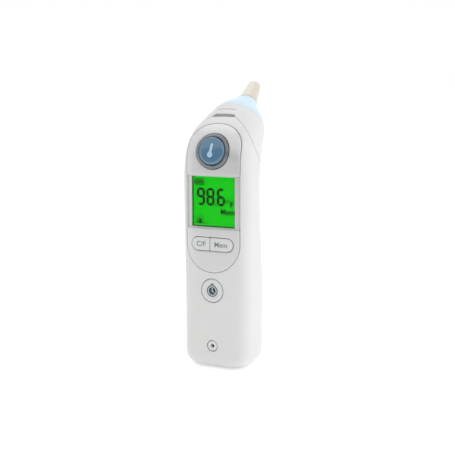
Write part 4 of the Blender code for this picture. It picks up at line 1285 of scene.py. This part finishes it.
class THERMOMETER_OT_power(PieceOperator):
    """Cells, contact plates and tray under the battery door"""
    bl_idname = "thermometer.power"
    bl_label = "Battery bay"

    def build(self, context):
        sizes = settings(context, "power")
        jacket = get_finish("cell_jacket", sizes.jacket, rough=(0.22, 0.3), vary=0.03, bump=0.0,
                            Coat_Weight=0.4)
        graded(jacket, "Z", [(0.0, sizes.jacket), (0.0529, sizes.jacket), (0.0531, sizes.band),
                             (0.2, sizes.band)])
        cell = [(0.0, 50.5), (2.6, 50.5), (2.7, 49.2), (6.7, 49.1), (7.25, 48.5), (7.25, 0.5), (6.8, 0.0),
                (0.0, 0.0)]
        for name, x, z, way in (("battery_left", -CELL_X, 20.6, 1), ("battery_right", CELL_X, 68.5, -1)):
            finished(name + "_cell", turned(rounded(cell, 0.35, 4), (x, CELL_Y, z), (0, 0, way), 80), jacket,
                     "handle", [name])
        dress(get_finish("tray_grey", (0.22, 0.225, 0.23), rough=(0.5, 0.62), vary=0.04, bump=0.12),
              "battery_tray")
        dress(steel(), "bridge_plate", "positive_plate", "negative_plate")


class THERMOMETER_OT_springs(PieceOperator):
    """Coil springs of the contacts, the release and the ejector"""
    bl_idname = "thermometer.springs"
    bl_label = "Springs"

    def build(self, context):
        contact_wire = settings(context, "power").wire / MM
        up = Vector((0.0, 0.0, 1.0))
        springs = (("contact_spring_lower", (-CELL_X, CELL_Y, 18.0), up, 3.0, contact_wire, 3.5, 2.3),
                   ("contact_spring_upper", (CELL_X, CELL_Y, 68.8), up, 3.0, contact_wire, 3.5, 2.0),
                   ("release_spring", (0.0, -11.0, RELEASE_Z), Vector((0.0, 1.0, 0.0)), 2.1, 0.35, 5.0,
                    4.6),
                   ("ejector_spring", head_place(0.0, 6.3, 0.0), PROBE_AXIS, 4.4, 0.5, 4.5, 6.8))
        made = {}
        for node, base, axis, radius, wire, turns, length in springs:
            turn = axis.to_track_quat("Z", "Y").to_euler()
            place = (Vector(base) + axis * wire / 2) * MM
            mesh = spring_tree().mesh(node, {"Turns": turns, "Radius": radius * MM, "Wire": wire / 2 * MM,
                                             "Length": (length - wire) * MM, "Place": place, "Turn": turn,
                                             "Finish": steel()})
            made[node] = placed(node + "_coil", mesh, steel(), "handle", [node])
        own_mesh(made["ejector_spring"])
        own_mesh(made["release_spring"])


class THERMOMETER_OT_screws(PieceOperator):
    """Pairs of cross-head screws"""
    bl_idname = "thermometer.screws"
    bl_label = "Screws"

    def build(self, context):
        turn = Vector((0.0, 1.0, 0.0)).to_track_quat("Z", "Y").to_euler()
        pairs = (("tray_screw", 11.0, -5.0, RELEASE_Z + 0.4, 6.0), ("board_screw", 10.5, -6.15, 56.2, 5.0),
                 ("housing_screw", SCREW_X, 8.2, SCREW_Z, 14.0))
        for kind, x, y, z, reach in pairs:
            mesh = screw_tree().mesh(kind, {
                "Head Radius": 2.0 * MM, "Head Height": 0.9 * MM, "Shank Radius": 0.87 * MM,
                "Reach": reach * MM, "First Place": Vector((x, y, z)) * MM,
                "Step": Vector((-2 * x, 0.0, 0.0)) * MM, "Turn": turn, "Finish": steel()})
            placed(kind + "s", mesh, steel(), "handle", [kind + "_1", kind + "_2"])


class THERMOMETER_OT_board(PieceOperator):
    """Finishes of the circuit board and its parts"""
    bl_idname = "thermometer.board"
    bl_label = "Board"

    def build(self, context):
        dress(get_finish("board_green", (0.02, 0.16, 0.06), rough=(0.35, 0.5), grain=3000.0, vary=0.25,
                         mottle=900.0, bump=0.1), "main_board")
        dress(steel(), "measure_dome", "cf_dome", "mem_dome", "timer_dome")
        dress(dark_rubber(), "controller_chip", "buzzer", "flex_connector")


class THERMOMETER_OT_stage(PieceOperator):
    """Pale floor, soft studio light and the camera"""
    bl_idname = "thermometer.stage"
    bl_label = "Stage"

    def build(self, context):
        sizes = settings(context, "stage")
        scene = context.scene
        bm = bmesh.new()
        bmesh.ops.create_circle(bm, cap_ends=True, segments=96, radius=6.0)
        mesh = bpy.data.meshes.new("floor")
        bm.to_mesh(mesh)
        bm.free()
        floor = bpy.data.objects.new("floor", mesh)
        scene.collection.objects.link(floor)
        pale = finish("floor_pale", sizes.floor, rough=(0.75, 0.85), grain=300.0, vary=0.004,
                      mottle=4.0, bump=0.0)
        shader = pale.node_tree.nodes["Principled BSDF"]
        shader.inputs["Emission Color"].default_value = (1.0, 1.0, 1.0, 1.0)
        shader.inputs["Emission Strength"].default_value = 0.3
        mesh.materials.append(pale)

        world = bpy.data.worlds.new("studio")
        world.use_nodes = True
        world.node_tree.nodes["Background"].inputs["Color"].default_value = (1.0, 1.0, 1.0, 1.0)
        world.node_tree.nodes["Background"].inputs["Strength"].default_value = sizes.surround
        scene.world = world
        scene.view_settings.view_transform = "Standard"

        target = Vector((0.0, 0.0, 0.08))
        lights = (("side", (0.55, 0.05, 0.40), 0.40, sizes.key),
                  ("top", (-0.15, 0.05, 0.70), 0.5, sizes.key * 1.4))
        for name, place, width, power in lights:
            light = bpy.data.lights.new(name, "AREA")
            light.size = width
            light.energy = power
            lamp = bpy.data.objects.new(name, light)
            lamp.location = place
            lamp.rotation_euler = (target - Vector(place)).to_track_quat("-Z", "Y").to_euler()
            scene.collection.objects.link(lamp)

        bm = bmesh.new()
        bmesh.ops.create_grid(bm, x_segments=4, y_segments=4, size=0.5)
        mesh = bpy.data.meshes.new("dark_card")
        bm.to_mesh(mesh)
        bm.free()
        card = bpy.data.objects.new("dark_card", mesh)
        card.location = (0.0, -0.95, 0.17)
        card.scale = (1.8, 0.62, 1.0)
        card.rotation_euler = (math.radians(90.0), 0.0, 0.0)
        card.visible_camera = False
        scene.collection.objects.link(card)
        mesh.materials.append(finish("card_black", (0.02, 0.02, 0.02), rough=(0.9, 0.95)))

        camera = bpy.data.cameras.new("camera")
        camera.lens = CAMERA_LENS
        camera.sensor_width = 36.0
        camera.clip_start = 0.01
        camera.clip_end = 50.0
        level = math.cos(CAMERA_PITCH)
        back = Vector((math.sin(CAMERA_TURN) * level, -math.cos(CAMERA_TURN) * level, math.sin(CAMERA_PITCH)))
        holder = bpy.data.objects.new("camera", camera)
        holder.location = CAMERA_PLACE
        holder.rotation_euler = (-back).to_track_quat("-Z", "Y").to_euler()
        scene.collection.objects.link(holder)
        scene.camera = holder


OPERATORS = (THERMOMETER_OT_stage, THERMOMETER_OT_casing, THERMOMETER_OT_hood, THERMOMETER_OT_probe,
             THERMOMETER_OT_fascia, THERMOMETER_OT_display, THERMOMETER_OT_measure, THERMOMETER_OT_keys,
             THERMOMETER_OT_power, THERMOMETER_OT_springs, THERMOMETER_OT_screws, THERMOMETER_OT_board)


class THERMOMETER_PT_panel(bpy.types.Panel):
    """Sidebar panel that lists the sizes, the colours and the steps"""
    bl_label = "Ear thermometer"
    bl_idname = "THERMOMETER_PT_panel"
    bl_space_type = "VIEW_3D"
    bl_region_type = "UI"
    bl_category = "Thermometer"

    def draw(self, context):
        for name, group in SETTINGS.items():
            column = self.layout.box().column()
            column.label(text=name.capitalize())
            for setting in group.__annotations__:
                column.prop(settings(context, name), setting)
        for operator in OPERATORS:
            self.layout.operator(operator.bl_idname)


def register():
    for group in SETTINGS.values():
        bpy.utils.register_class(group)
    for name, group in SETTINGS.items():
        setattr(bpy.types.Scene, "thermometer_" + name, PointerProperty(type=group))
    for operator in (*OPERATORS, THERMOMETER_PT_panel):
        bpy.utils.register_class(operator)


def unregister():
    for operator in (THERMOMETER_PT_panel, *reversed(OPERATORS)):
        bpy.utils.unregister_class(operator)
    for name, group in SETTINGS.items():
        delattr(bpy.types.Scene, "thermometer_" + name)
        bpy.utils.unregister_class(group)


def main():
    register()
    for obj in [obj for obj in bpy.data.objects if obj.name in ("Cube", "Light", "Camera")]:
        bpy.data.objects.remove(obj)
    for operator in OPERATORS:
        getattr(bpy.ops.thermometer, operator.bl_idname.split(".")[1])()


if __name__ == "__main__":
    main()
